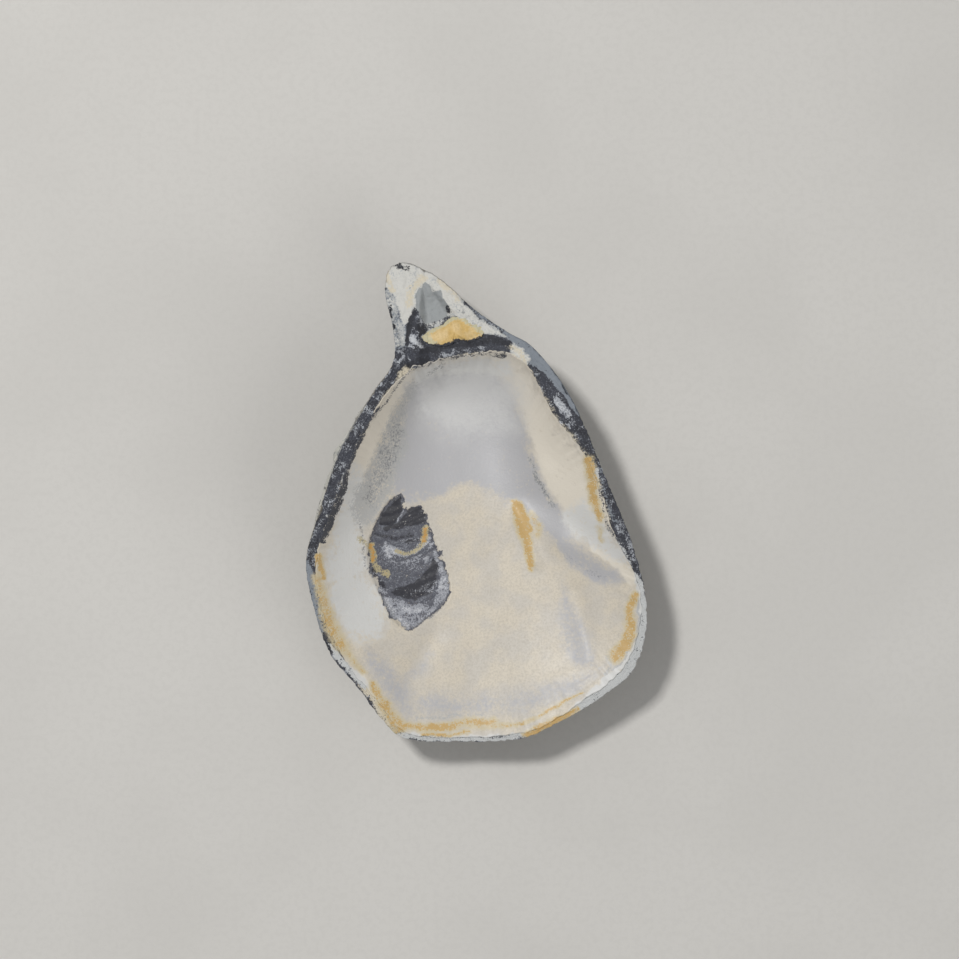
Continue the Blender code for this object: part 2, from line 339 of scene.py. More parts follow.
@dataclass
class ShellForm:
    """The shell's formulas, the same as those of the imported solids.

    Places are read in polar coordinates round the middle of the hollow. The stations give,
    for an angle in degrees, the edge's height and thickness in millimetres, how steep the
    inside is and how full the outside is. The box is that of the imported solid.
    """

    box: Array
    length: float = 112.6 * MM
    width: float = 79.8 * MM
    floor_height: float = 6.2 * MM
    flat_share: float = 0.03
    plate_lift: float = 1.2 * MM
    rib_height: float = 1.5 * MM
    rib_half_turn: float = math.radians(4.5)
    ripple: float = 0.35 * MM
    lining_lift: float = 0.4 * MM
    normal_step: float = 0.2 * MM
    hinge_height: float = 19.8 * MM
    groove_depth: float = 2.2 * MM
    groove_half_width: float = 7.2 * MM
    groove_tip_width: float = 0.3 * MM
    groove_tip: Point = (-12.6 * MM, 52.5 * MM)
    groove_base: Point = (-7.2 * MM, 36.6 * MM)
    middle: Array = field(default_factory=lambda: np.array((-1.0, -3.0)) * MM)
    umbo: Array = field(default_factory=lambda: np.array((-10.8, 40.5)) * MM)
    plate_edges: tuple[float, ...] = (0.955, 0.88, 0.8, 0.71, 0.62, 0.52, 0.42, 0.31, 0.19, 0.05)
    outline: tuple[Point, ...] = (
        (-18.4, 56.4), (-14.0, 55.6), (-8.0, 52.2), (-0.5, 45.4), (7.5, 39.9), (13.2, 36.4),
        (20.2, 27.8), (25.6, 17.6), (31.3, 3.6), (36.2, -8.4), (39.3, -19.5), (39.9, -29.5),
        (36.8, -39.2), (28.5, -46.2), (19.0, -51.8), (10.5, -55.4), (-2.0, -56.2),
        (-16.5, -55.4), (-22.6, -50.4), (-28.6, -42.6), (-34.6, -35.0), (-37.9, -25.5),
        (-39.9, -13.5), (-36.6, -1.5), (-32.0, 11.8), (-24.6, 25.0), (-19.6, 33.0),
        (-19.6, 40.6), (-21.4, 48.6), (-21.0, 54.0),
    )
    lining_line: tuple[Point, ...] = (
        (-18.2, 28.6), (-10.0, 33.2), (-1.0, 34.8), (7.6, 34.8), (13.0, 30.2), (17.6, 21.0),
        (24.6, 12.0), (28.6, 3.0), (32.6, -8.6), (37.6, -18.6), (37.9, -29.0), (33.6, -39.2),
        (24.0, -46.8), (12.6, -53.2), (-4.0, -54.7), (-16.6, -53.6), (-22.4, -47.0),
        (-31.4, -35.4), (-36.4, -22.6), (-36.8, -10.6), (-31.8, 3.0), (-26.2, 17.0),
    )
    stations: tuple[tuple[float, ...], ...] = (
        (10, 18.6, 1.6, 2.4, 2.7), (45, 19.4, 1.9, 3.0, 2.7), (72, 19.6, 2.6, 4.6, 2.5),
        (92, 18.0, 4.2, 7.0, 2.2), (108, 16.2, 5.0, 7.0, 2.1), (122, 19.4, 3.4, 5.4, 2.4),
        (142, 21.2, 2.2, 3.9, 3.0), (168, 21.4, 1.9, 3.2, 3.1), (192, 20.0, 1.7, 2.8, 2.9),
        (216, 17.2, 1.5, 2.4, 2.6), (244, 14.6, 1.4, 2.1, 2.3), (270, 13.2, 1.4, 2.0, 2.2),
        (298, 14.0, 1.4, 2.0, 2.2), (326, 16.2, 1.4, 2.1, 2.4), (350, 18.6, 1.5, 2.3, 2.6),
    )
    fold_lines: tuple[Stroke, ...] = (
        Stroke(((20.0, -9.5), (38.0, -16.5)), 3.0, 3.0, 1.2),
        Stroke(((12.0, 1.0), (33.0, -9.0)), 3.6, 3.6, -0.9),
        Stroke(((23.0, -21.0), (27.0, -37.0)), 2.6, 2.6, -0.7),
        Stroke(((10.0, 30.0), (15.0, 8.0)), 3.4, 3.4, 0.8),
        Stroke(((9.5, -1.5), (14.0, -14.0)), 1.5, 1.5, 0.6),
        Stroke(((-27.0, -34.0), (-21.0, -44.0)), 2.2, 2.2, 0.6),
        Stroke(((-10.5, -32.0), (-20.0, -46.0)), 2.8, 2.8, -0.6),
        Stroke(((-7.0, 20.0), (0.0, 16.0)), 12.0, 12.0, -1.9),
    )
    rib_ends: tuple[Point, ...] = (
        (39.3, -19.5), (29.5, -45.6), (-16.5, -55.4), (-36.0, -32.0), (-38.5, -7.0),
    )
    edge: Loop = field(init=False)
    lining: Loop = field(init=False)

    def __post_init__(self) -> None:
        """Scales the outline to its true size and places the lining's edge in it."""
        raw = Loop.spline(self.outline)
        low, high = raw.min(0), raw.max(0)
        scale = np.array((self.width, self.length)) / (high - low)
        self.edge = Loop(self.outline, self.middle, (low + high) / 2, scale)
        self.lining = Loop(self.lining_line, self.middle, (low + high) / 2, scale)

    def polar(self, points: Array) -> tuple[Array, Array]:
        """Angle and distance of places seen from the middle of the hollow."""
        return polar(points, self.middle)

    def around(self, angle: Array, reach: Array) -> Array:
        """Places at these angles and distances from the middle of the hollow."""
        return self.middle + reach[..., None] * np.stack([np.cos(angle), np.sin(angle)], -1)

    def station(self, column: int, angle: Array) -> Array:
        """One column of the stations at any angle, as a smooth curve through its rows.

        Between two rows it is the cubic whose ends have the rows' values and mean slopes.

        Args:
            column: 1 height, 2 thickness, 3 steepness, 4 fullness.
            angle: angles in radians.

        Returns:
            The value at each angle.
        """
        rows = np.array(self.stations, float)
        knots = np.radians(rows[:, 0])
        shifted = (np.asarray(angle) - knots[0]) % TURN + knots[0]
        wide = np.concatenate([knots[-2:] - TURN, knots, knots[:2] + TURN])
        tall = np.concatenate([rows[-2:, column], rows[:, column], rows[:2, column]])
        slopes = np.gradient(tall, wide)
        span = np.clip(np.searchsorted(wide, shifted, side="right") - 1, 0, len(wide) - 2)
        reach = wide[span + 1] - wide[span]
        t = (shifted - wide[span]) / reach
        ends = tall[span] * (2 * t**3 - 3 * t**2 + 1) + tall[span + 1] * (3 * t**2 - 2 * t**3)
        lean = slopes[span] * (t**3 - 2 * t**2 + t) + slopes[span + 1] * (t**3 - t**2)
        return ends + reach * lean

    def edge_height(self, angle: Array) -> Array:
        """Height of the edge's top, with its ripples 0.6 sin(9a) + 0.4 sin(14a)."""
        ripples = 0.6 * np.sin(9 * angle + 0.7) + 0.4 * np.sin(14 * angle + 2.0)
        return self.station(1, angle) * MM + self.ripple * ripples

    def thickness(self, angle: Array) -> Array:
        """Thickness of the shell's edge at any angle."""
        return self.station(2, angle) * MM

    def folds(self, points: Array) -> Array:
        """Height that the folds add to the inside: the sum of their bell-shaped ridges."""
        return sum(fold.at(points) for fold in self.fold_lines) * MM

    def groove_place(self, points: Array) -> tuple[Array, Array]:
        """Places read along the ligament's groove, whose half width grows evenly from its tip.

        Args:
            points: places seen from above.

        Returns:
            Share of the way down the axis, and distance aside as a share of the half width.
        """
        axis = np.array(self.groove_base) - np.array(self.groove_tip)
        length = np.linalg.norm(axis)
        axis = axis / length
        away = points - np.array(self.groove_tip)
        along = away @ axis / length
        across = away[..., 0] * axis[1] - away[..., 1] * axis[0]
        half = self.groove_half_width * np.clip(along, 0, 1) + self.groove_tip_width
        return along, across / half

    def groove(self, points: Array) -> Array:
        """Depth of the ligament's trough, level across its floor and faded at its ends.

        Args:
            points: places seen from above.

        Returns:
            The depth, below 0, in metres.
        """
        along, across = self.groove_place(points)
        ends = ramp(along, 0.0, 0.45) * (1 - ramp(along, 1.3, 1.8))
        return -self.groove_depth * ends * (1 - ramp(np.abs(across), 0.45, 1.1))

    def lining_height(self, angle: Array) -> Array:
        """Height of the lining's edge: just over the margin, and level at the hinge, where
        the plate between it and the shell's edge is 3 to 14 mm wide or more.

        Args:
            angle: angles in radians.

        Returns:
            Heights in metres.
        """
        height = self.edge_height(angle)
        plate = self.edge.reach(angle) - self.lining.reach(angle)
        rise = (self.hinge_height - height) * ramp(plate, 3 * MM, 14 * MM)
        return height + self.lining_lift + rise

    def margin_height(self, angle: Array, share: Array, step: float = 0.0) -> Array:
        """Top of the margin and hinge plate: a straight slope and the groove.

        Args:
            angle: angles in radians.
            share: 0 at the shell's edge and 1 at the lining.
            step: how far below the lining's edge the slope ends, in metres.

        Returns:
            Heights in metres.
        """
        low, outer = self.edge_height(angle), self.edge.reach(angle)
        points = self.around(angle, outer + (self.lining.reach(angle) - outer) * share)
        slope = low + (self.lining_height(angle) - step - low) * share
        return slope + self.groove(points) * ramp(share, 0.0, 0.2)

    def bowl_height(self, angle: Array, share: Array) -> Array:
        """Height of the hollow: top - (top - floor)(1 - (1 - share)^steepness) and its folds.

        Args:
            angle: angles in radians.
            share: 0 at the lining's edge and 1 in the middle.

        Returns:
            Heights in metres.
        """
        points = self.around(angle, self.lining.reach(angle) * (1 - share))
        top = self.margin_height(angle, np.ones_like(share))
        fall = 1 - (1 - share) ** self.station(3, angle)
        return top - (top - self.floor_height) * fall + ramp(share, 0, 0.3) * self.folds(points)

    def ribs(self, points: Array) -> Array:
        """How far the outside's ribs stand out: height * share^2 * exp(-(aside / width)^2)
        on rays from the umbo to the edge's corners.

        Args:
            points: places seen from above.

        Returns:
            Heights in metres.
        """
        bearing, distance = polar(points, self.umbo)
        total = np.zeros(points.shape[:-1])
        for end in self.rib_ends:
            ray = np.array(end) * MM - self.umbo
            aside = (bearing - math.atan2(ray[1], ray[0]) + math.pi) % TURN - math.pi
            share = np.clip(distance / np.linalg.norm(ray), 0, 1)
            total += self.rib_height * share**2 * np.exp(-((aside / self.rib_half_turn) ** 2))
        return total

    def outside_height(self, points: Array) -> Array:
        """The outside without its plates: top * (share^fullness - flat) / (1 - flat), less
        the ribs, where share is 0 in the middle and 1 at the edge.

        Args:
            points: places seen from above.

        Returns:
            Heights in metres.
        """
        angle, distance = self.polar(points)
        share = distance / self.edge.reach(angle)
        top = self.edge_height(angle) - self.thickness(angle)
        rise = np.maximum(share ** self.station(4, angle) - self.flat_share, 0)
        bowl = top * rise / (1 - self.flat_share)
        return bowl - self.ribs(points) * (1 - ramp(share, 0.86, 1.0))

    def inside_height(self, points: Array) -> Array:
        """Top of the shell: the hollow inside the lining's edge, and the margin or hinge
        plate outside it.

        Args:
            points: places seen from above.

        Returns:
            Heights in metres.
        """
        angle, distance = self.polar(points)
        outer, inner = self.edge.reach(angle), self.lining.reach(angle)
        margin = self.margin_height(angle, np.clip((outer - distance) / (outer - inner), 0, 1))
        bowl = self.bowl_height(angle, np.clip(1 - distance / inner, 0, 1))
        return np.where(distance > inner, margin, bowl)

    def core(self, points: Array, share: float) -> Array:
        """Places inside the shell's wall.

        Args:
            points: places seen from above.
            share: 0 for the outside and 1 for the inside.

        Returns:
            The places, with their heights.
        """
        low = np.maximum(self.outside_height(points), 0)
        high = self.inside_height(points)
        return raised(points, low + (high - low) * share)

    def growth(self, edge: Array, share: Array, lift: Array) -> Array:
        """Growth lines: the edge drawn in towards the umbo and lifted off the outside.

        A place is umbo + (edge - umbo) * share, moved by lift along the outward normal,
        which fades near the ground and near the umbo.

        Args:
            edge: places along the shell's edge, one for each column.
            share: how far out each line lies, rings by columns; 1 is the edge.
            lift: how far each line stands off, rings by columns, in metres.

        Returns:
            The lines' places, rings by columns by three.
        """
        points = self.umbo + (edge - self.umbo) * share[..., None]
        step = self.normal_step
        height = self.outside_height(points)
        slope_x = (self.outside_height(points + (step, 0)) - height) / step
        slope_y = (self.outside_height(points + (0, step)) - height) / step
        normal = np.stack([slope_x, slope_y, -np.ones_like(height)], axis=-1)
        normal /= np.linalg.norm(normal, axis=-1, keepdims=True)
        reach = np.linalg.norm(edge - self.umbo, axis=-1)
        lift = lift * ramp(height, 0.0, 4 * MM) * ramp(reach, 2 * MM, 40 * MM)
        return raised(points, height) + normal * lift[..., None]


def grid_normals(grid: Array) -> Array:
    """Unit normals of a grid that closes along its columns: the cross product of its slopes
    along columns and rings.

    Args:
        grid: places, rings by columns by three.

    Returns:
        A direction for each place.
    """
    down = np.gradient(grid, axis=0)
    along = np.roll(grid, -1, axis=1) - np.roll(grid, 1, axis=1)
    normal = np.cross(down, along)
    return normal / np.maximum(np.linalg.norm(normal, axis=-1, keepdims=True), TINY)


def make_object(name: str, points: Array, faces: list[Array]) -> bpy.types.Object:
    """A smooth mesh object from places and faces, turned so that its faces look outwards.

    Args:
        name: the piece's name.
        points: places in metres.
        faces: arrays of corner numbers, one array for each number of corners.

    Returns:
        The new object, at the origin.
    """
    volume = 0.0
    for group in faces:
        a = points[group[:, 0]]
        for step in range(1, group.shape[1] - 1):
            b, c = points[group[:, step]], points[group[:, step + 1]]
            volume += np.sum(a * np.cross(b, c))
    if volume < 0:
        faces = [group[:, ::-1] for group in faces]
    mesh = bpy.data.meshes.new(name)
    corners = np.concatenate([group.ravel() for group in faces])
    counts = np.concatenate([np.full(len(group), group.shape[1]) for group in faces])
    mesh.vertices.add(len(points))
    mesh.vertices.foreach_set("co", points.astype(np.float32).ravel())
    mesh.loops.add(len(corners))
    mesh.loops.foreach_set("vertex_index", corners.astype(np.int32))
    mesh.polygons.add(len(counts))
    mesh.polygons.foreach_set("loop_start", np.concatenate([[0], np.cumsum(counts)[:-1]]))
    mesh.polygons.foreach_set("use_smooth", np.ones(len(counts), bool))
    mesh.update(calc_edges=True)
    mesh.validate()
    made = bpy.data.objects.new(name, mesh)
    bpy.context.scene.collection.objects.link(made)
    return made


def set_marks(piece: bpy.types.Object, marks: dict[str, Array]) -> None:
    """Stores a piece's marks as attributes of its vertices.

    Args:
        piece: the mesh object.
        marks: for each name, one number for a vertex, or three for a direction.
    """
    for name, values in marks.items():
        kind, key = ("FLOAT", "value") if values.ndim == 1 else ("FLOAT_VECTOR", "vector")
        attribute = piece.data.attributes.new(name, kind, "POINT")
        attribute.data.foreach_set(key, values.astype(np.float32).ravel())


BOX_ROOM = 0.02 * MM


def closed_body(
    name: str,
    rings: Array,
    marks: dict[str, Array],
    box: Array,
    poles: tuple[Array, Array] | None = None,
) -> bpy.types.Object:
    """A closed skin over rings that each close on themselves.

    Between two rings the faces are quads. With poles, fans close both ends; without them,
    the last ring joins the first, as on a tyre. Every place is kept just inside the box.

    Args:
        name: the piece's name.
        rings: places, rings by columns by three.
        marks: values on the rings, rings by columns, with or without three last.
        box: the solid's lowest and highest corner.
        poles: the places before the first ring and after the last one.

    Returns:
        The new object.
    """
    count, columns = rings.shape[:2]
    points = rings.reshape(-1, 3)
    number = np.arange(count * columns).reshape(count, columns)
    upper = number if poles is None else number[:-1]
    lower = np.roll(number, -1, axis=0) if poles is None else number[1:]
    quads = np.stack([upper, lower, np.roll(lower, -1, 1), np.roll(upper, -1, 1)], -1)
    faces = [quads.reshape(-1, 4)]
    flat = {key: value.reshape(count * columns, *value.shape[2:]) for key, value in marks.items()}
    if poles is not None:
        points = np.vstack([points, poles])
        top = np.full(columns, count * columns)
        first, last = number[0], number[-1]
        fans = [
            np.stack([top, first, np.roll(first, -1)], -1),
            np.stack([top + 1, np.roll(last, -1), last], -1),
        ]
        faces.append(np.concatenate(fans))
        flat = {
            key: np.concatenate([value, [value[:columns].mean(0), value[-columns:].mean(0)]])
            for key, value in flat.items()
        }
    made = make_object(name, np.clip(points, box[0] + BOX_ROOM, box[1] - BOX_ROOM), faces)
    set_marks(made, flat)
    return made


# Where the natural stains and colour zones lie, and some painted light and shade: the shade marks are
# painted shade, the lavender is partly painted shade, and the patch at the top of the recess is painted
# light.
MARKS: dict[Mark, Blots] = {
    Mark.CREAM: (
        Stroke(((-16, 30.4), (-21, 22), (-25.2, 13.5), (-28.4, 6), (-30.6, 0.5)), 1.5, 2.2, 1.25),
        Patch(((6, 33.5), (12, 29.5), (17.5, 20.5), (24.5, 12), (28.3, 3.5), (30.5, -4), (25, -4.5),
               (20, -2), (16.5, 3), (13.5, 10), (11, 18.5), (7.5, 26.5), (3.5, 31)), 3),
        Stroke(((-9, 31.5), (-2, 33.6), (4, 33.6), (9, 32)), 1, 1.8, 1.1),
        Stroke(((27, -10.6), (31.5, -13.4), (36, -18)), 0.9, 1.5, 1.1),
        Stroke(((-27.6, -41), (-23, -47.5), (-20.2, -53.2)), 1.3, 1.1, 1),
        Stroke(((-21.2, 54), (-20.6, 51.4), (-19.6, 49.4)), 1, 0.8, 0.8),
        Stroke(((-12.8, 52.4), (-15.4, 49.6), (-15.8, 46)), 1.3, 1, 0.8),
        Stroke(((-8.8, 51.6), (-5.4, 49.4), (-4.4, 47.2)), 0.9, 1, 0.62),
        Stroke(((7.6, 36.2), (10, 35), (11, 33)), 0.9, 0.8, 0.7),
    ),
    Mark.WHITE: (
        Patch(((-29, 9), (-26.6, 6), (-28, -2), (-26.6, -12), (-24.6, -19), (-21, -27), (-22.5, -32),
               (-28.5, -32), (-33.5, -24), (-35.6, -14), (-32, 0)), 3.8, 1.1),
        Stroke(((-14, 29.4), (-7, 31.4), (0, 32.2), (6, 31)), 1.6, 2.4, 0.85),
        Patch(((20, -3), (25, 0), (29, -4), (31, -8), (34, -10.5), (35.4, -15), (31, -12.6),
               (26.5, -9.5), (22.5, -6.5)), 3.4, 1.15),
        Patch(((36.2, -15.8), (38.6, -18.5), (41, -25), (41, -31), (39, -37), (34.5, -42), (29, -46),
               (22, -50.4), (20.6, -49.4), (25, -45.4), (30, -41), (34, -36.6), (36.8, -32.4),
               (37.8, -27), (37.6, -21.5)), 0.7, 1.2),
        Stroke(((-18.4, -54.6), (-2, -55.4), (8, -55), (13, -53.6)), 0.9, 0.9, 1.25),
        Stroke(((-35.2, -33.2), (-30, -38.8), (-26.4, -42.6)), 0.7, 0.9, 1.2),
        Stroke(((28, 7.6), (28, 5.8)), 0.5, 0.5, 1),
    ),
    # Lavender: a cool grey tint of the lining, and also painted shade: the recess under the hinge and the
    # valleys beside the folds are greyed as if shaded.
    Mark.LAVENDER_AND_SHADE: (
        Patch(((-16.4, 28), (-8, 31.4), (0, 32.4), (4.6, 29.6), (9, 22.5), (12.4, 12), (14.6, 6.5),
               (17.2, 1), (20.5, -4), (22.6, -8), (19, -9.5), (15, -6), (11, -2), (7, 0.5), (2.5, 2.6),
               (-2, 5), (-6.5, 3.4), (-11, 1.4), (-16, 0.2), (-19.6, 2.5), (-19.8, 8), (-18, 13)), 3,
               1.15),
        Patch(((18.5, -7), (22.5, -8.5), (27, -12.8), (33, -16.2), (34.5, -18.8), (30, -19.6),
               (25, -17.4), (21.5, -13.5), (18, -9.5)), 1.8, 0.85),
        Patch(((20.2, -18.8), (19.2, -24), (18.6, -29), (19.6, -34.5), (23, -38.5), (28.8, -38.5),
               (28, -33), (25.6, -28), (22.8, -23)), 2.6, 0.62),
        Patch(((-26, -33), (-20, -37.5), (-16, -43), (-14, -50), (-18, -50.5), (-22, -45), (-26, -38)),
               3.2, 0.66),
        Stroke(((-17.4, -42), (-13.5, -39.4), (-10.6, -35.5)), 2, 1.4, 0.45),
        Patch(((-16, -44.5), (-4, -45), (8, -44), (18, -42), (27, -38.5), (31, -37), (28, -41.5),
               (22, -46), (14, -49), (4, -50.2), (-12, -50.4)), 3.6, 0.6),
    ),
    # Painted light: a paler patch over the top of the recess, whose slope lies in shade, to even its
    # brightness out.
    Mark.PAINTED_LIGHT: (
        Patch(((-14, 30), (-6, 32), (5, 32), (9, 26), (9, 18), (-8, 17), (-14, 21)), 8, 1.1),
    ),
    Mark.SHADE: (
        Patch(((-15.5, 28.6), (-18, 24), (-20.6, 19), (-22.6, 14), (-25, 9), (-27.6, 4), (-29.4, -1.5),
               (-28, -5), (-24.6, -5), (-22.8, -2), (-20.4, 1.5), (-19, 5.5), (-17.6, 9.5), (-16.2, 13),
               (-17, 18), (-16.4, 23), (-13.6, 28)), 2, 1),
        Stroke(((12.2, 10.6), (13.8, 7), (15.4, 3.6), (17.4, -0.6)), 0.4, 0.9, 0.8),
        Stroke(((30.6, -36.2), (31.4, -38.2), (30.2, -40.2)), 0.7, 0.5, 0.9),
        Stroke(((37.7, -20.8), (37.9, -27), (37, -31.5), (34.9, -35.6), (31.8, -39.2)), 0.3, 0.35, 1),
        Stroke(((-14, -50.2), (-6, -50), (2, -50)), 0.5, 0.35, 0.6),
    ),
    Mark.GOLD: (
        Stroke(((-36.9, -12), (-36.5, -14.6), (-35.7, -17.2)), 0.55, 0.6, 1.5),
        Stroke(((-37, -17.6), (-36, -23), (-34.6, -27.6), (-32.6, -32), (-31, -33.8)), 1.5, 2, 0.8),
        Stroke(((-31, -33.8), (-28.6, -37), (-26.6, -39.6)), 1.5, 0.8, 0.7),
        Stroke(((-24.6, -42.6), (-22.4, -46.4), (-19.8, -50.2), (-18, -52.4)), 0.9, 1.7, 0.95),
        Stroke(((-18, -52), (-10, -52.4), (-4, -51.9), (4, -51.7)), 0.9, 1.25, 1.05),
        Stroke(((4.5, -52.6), (10, -51.6), (15, -50.2)), 0.8, 0.5, 0.85),
        Stroke(((15, -50), (18.4, -47.9), (22, -45.6), (24.5, -44.4)), 0.55, 0.35, 1),
        Stroke(((-12.5, -53.9), (-8, -54.4), (-2, -53.7)), 0.6, 0.5, 1.15),
        Stroke(((11.6, -54.3), (14.6, -52.9), (18.8, -51.2), (23, -48.8)), 0.9, 0.75, 1.4),
        Stroke(((37, -21.6), (35.7, -25.4), (35.7, -30.2), (34.6, -33.4), (32, -35.8)), 1, 1.5, 1.2),
        Stroke(((26, 10), (26.4, 6), (27.2, 1), (28.6, -3.6)), 1.35, 1.1, 1.1),
        Patch(((8, 0.6), (10.5, 0.3), (12.2, -2.6), (12.9, -6), (12.6, -10), (13.3, -15), (12.7, -16.4),
               (11.9, -14), (10.9, -10.5), (9.6, -6.8), (8.9, -4)), 0.9, 1.35),
        Stroke(((12.8, -2.6), (14.4, -5.4), (14, -8.2)), 1, 0.9, 0.62),
        Stroke(((28.6, -6), (29.2, -9)), 0.9, 0.8, 0.55),
    ),
    Mark.CHALK: (
        Patch(((-23.5, 57.5), (-18, 59.5), (-11.5, 57.5), (-5, 54), (-1.8, 50.6), (-2.6, 47.4),
               (-5.4, 46.2), (-7, 45.7), (-7.7, 47.5), (-8.2, 49.3), (-10.5, 49), (-11.2, 51),
               (-12.4, 50.6), (-14.2, 48), (-14, 45), (-15.2, 44.5), (-16.2, 42), (-17.3, 41.8),
               (-17.7, 43.5), (-18.3, 45.5), (-18.9, 47.2), (-20.4, 49.8), (-23, 50.6)), 0.7, 1.5),
        Patch(((-22, 48.8), (-20.2, 50.2), (-18.8, 47.2), (-18.3, 44.5), (-17.6, 42.6), (-16.8, 41.4),
               (-16.6, 36.2), (-19.8, 34.8), (-20.4, 38), (-20.4, 42), (-21.4, 45.5)), 0.6, 0.6),
        Patch(((-7, 45.8), (-3.6, 47.4), (0.6, 43), (4.5, 40.2), (7.2, 38.9), (4, 39.2), (1.6, 39.7),
               (-1, 40.6), (-3, 42.6), (-5, 43.6), (-7.4, 43.4)), 0.8, 1.25),
        Patch(((-13.4, 43), (-11, 42.2), (-8, 42.8), (-7, 41.4), (-10.4, 39.2), (-12.4, 38.8),
               (-11.4, 40.6)), 0.6, 0.7),
        Patch(((8.4, 36.8), (10.4, 36.2), (12.6, 33.6), (11.2, 31.4), (9, 33.2), (6.6, 33.6),
               (7.8, 34.8)), 1, 1.1),
        Stroke(((-11.2, 49.2), (-10.8, 48)), 0.4, 0.25, 1),
        Stroke(((-35, -3.2), (-33.2, -3), (-32.4, -1.6)), 0.5, 0.5, 1),
    ),
    Mark.BLUE: (
        Patch(((7.6, 39.6), (12, 38.6), (15.5, 34.6), (18.6, 30.6), (22, 26.4), (24.8, 20.6),
               (23.6, 20), (21.4, 23.5), (19, 26.6), (17, 28.8), (15, 30.6), (12.8, 32.2), (10.8, 34.4),
               (9.4, 36.4), (8.2, 37.4)), 0.7, 1.5),
        Stroke(((-2, 49), (1.8, 45), (6.6, 41.4), (9.6, 39.4)), 1.6, 2, 1.3),
        Patch(((-22, 48.8), (-20.2, 50.2), (-18.8, 47.2), (-18.3, 44.5), (-17.6, 42.6), (-16.8, 41.4),
               (-16.6, 36.2), (-19.8, 34.8), (-20.4, 38), (-20.4, 42), (-21.4, 45.5)), 0.6, 1.5),
        Stroke(((-39.4, -14.4), (-38.4, -19), (-37.7, -24), (-36.6, -29.5)), 1.2, 0.8, 1.15),
        Stroke(((28.7, 7.6), (29.6, 2.4), (31, -2.4), (32.6, -5)), 0.8, 1.1, 0.5),
    ),
    Mark.GROOVE: (
        Patch(((-11.9, 51.3), (-13, 50), (-14.2, 48), (-14, 45), (-13.5, 43.2), (-11.5, 41.9),
               (-8.5, 42.7), (-7.3, 43.5), (-6.9, 45), (-7.6, 47.2), (-8.2, 49.3), (-10.6, 49),
               (-11.2, 50.6)), 0.5, 1.6),
    ),
    Mark.INK: (
        Stroke(((-14.6, 44.8), (-15.6, 42.4), (-16.2, 39.6), (-16.2, 36.6)), 0.5, 0.6, 1.1),
        Stroke(((-14, 40.8), (-12.4, 40), (-13, 38.6)), 0.7, 0.5, 0.9),
        Stroke(((-13, 34.8), (-8.4, 36.4), (-4, 37.4), (0, 37), (3, 38.2), (7.6, 37)), 0.8, 0.9, 1.1),
        Stroke(((-16, 31.8), (-11.8, 33.4)), 0.7, 0.7, 1),
        Stroke(((-7.1, 45.6), (-6.7, 44.4)), 0.45, 0.45, 1.2),
        Stroke(((-19, 55.6), (-17.6, 55.3), (-16.2, 54.8)), 0.9, 0.9, 0.75),
        Stroke(((-20.1, 45.6), (-19.8, 43.4)), 0.35, 0.3, 1.2),
        Stroke(((-19.4, 41.6), (-19.3, 40.6)), 0.3, 0.3, 1.1),
        Stroke(((-33.6, 11.4), (-32, 10.8)), 0.3, 0.3, 1),
        Stroke(((-35.8, -32.4), (-34.4, -34.8)), 0.5, 0.4, 1.2),
    ),
    Mark.FLAKE: (
        Patch(((17.2, 24.6), (18.6, 25.3), (20.6, 22.8), (22.2, 20), (21.2, 19.4), (19.4, 20.6),
               (18.2, 22.8)), 0.35, 0.85),
        Stroke(((23, 22.6), (24.2, 20)), 0.45, 0.4, 0.75),
        Stroke(((19.6, 18.8), (21.6, 17.4)), 0.5, 0.4, 0.7),
        Stroke(((-15, 38.4), (-14.2, 36.8), (-12.8, 36)), 0.8, 0.5, 0.95),
        Stroke(((-16.2, 36.4), (-14.8, 35.6)), 0.6, 0.4, 0.8),
        Stroke(((-14, 43.4), (-12.9, 41.8)), 0.5, 0.5, 0.8),
        Stroke(((-13.9, 40.4), (-13.2, 39.7)), 0.3, 0.3, 0.9),
        Stroke(((-18.6, 34.9), (-17.2, 34.3), (-18.2, 32.8)), 0.6, 0.6, 0.8),
        Stroke(((-16.2, 33.9), (-15.8, 33)), 0.4, 0.4, 0.9),
        Stroke(((-5, 37.7), (-4.4, 37.2)), 0.35, 0.35, 1.2),
        Stroke(((-20.4, 31), (-22, 28.6), (-23.4, 26.8)), 0.9, 0.7, 0.95),
        Stroke(((-24.8, 25.6), (-27.4, 20.8), (-30.6, 15.6), (-33, 10), (-34.8, 5.6), (-36.6, 0.6)),
                0.4, 0.5, 0.7),
        Stroke(((27.4, 11), (30, 6.2)), 0.4, 0.4, 0.5),
    ),
    Mark.EDGE: (
        Patch(((-22.6, 22.4), (-24.5, 19.2), (-27.8, 12.2), (-29.6, 6.4), (-31, 0.6), (-33.4, -4),
               (-35.6, -9), (-38, -9), (-37, -2), (-35, 2), (-31.5, 10), (-27.5, 18)), 0.6, 1.3),
        Stroke(((-16, 30.8), (-20.5, 25), (-23.7, 20)), 0.6, 0.6, 0.44),
        Stroke(((-17, 30.2), (-12, 32), (-8.6, 33.6), (-3, 34.2), (1, 35), (6.4, 34.2)), 0.7, 0.7,
                0.52),
        Stroke(((12.5, 31), (17, 25.6), (20.5, 18.6), (25, 13), (28, 8.5), (29, 1), (30.2, -5),
                (33, -8.5), (35.5, -14)), 0.6, 0.6, 0.48),
    ),
    Mark.SPECK: (
        Patch(((-14.4, 29.6), (-17.6, 24), (-20.6, 19), (-23.6, 13), (-26.4, 6), (-27.6, 0), (-24, -3),
               (-21, 3), (-18.6, 8), (-17, 13), (-16.6, 20), (-15, 26)), 2.6, 0.4),
        Stroke(((-11.5, 30), (-8.6, 31.6), (-7.6, 33.2)), 0.9, 1, 0.46),
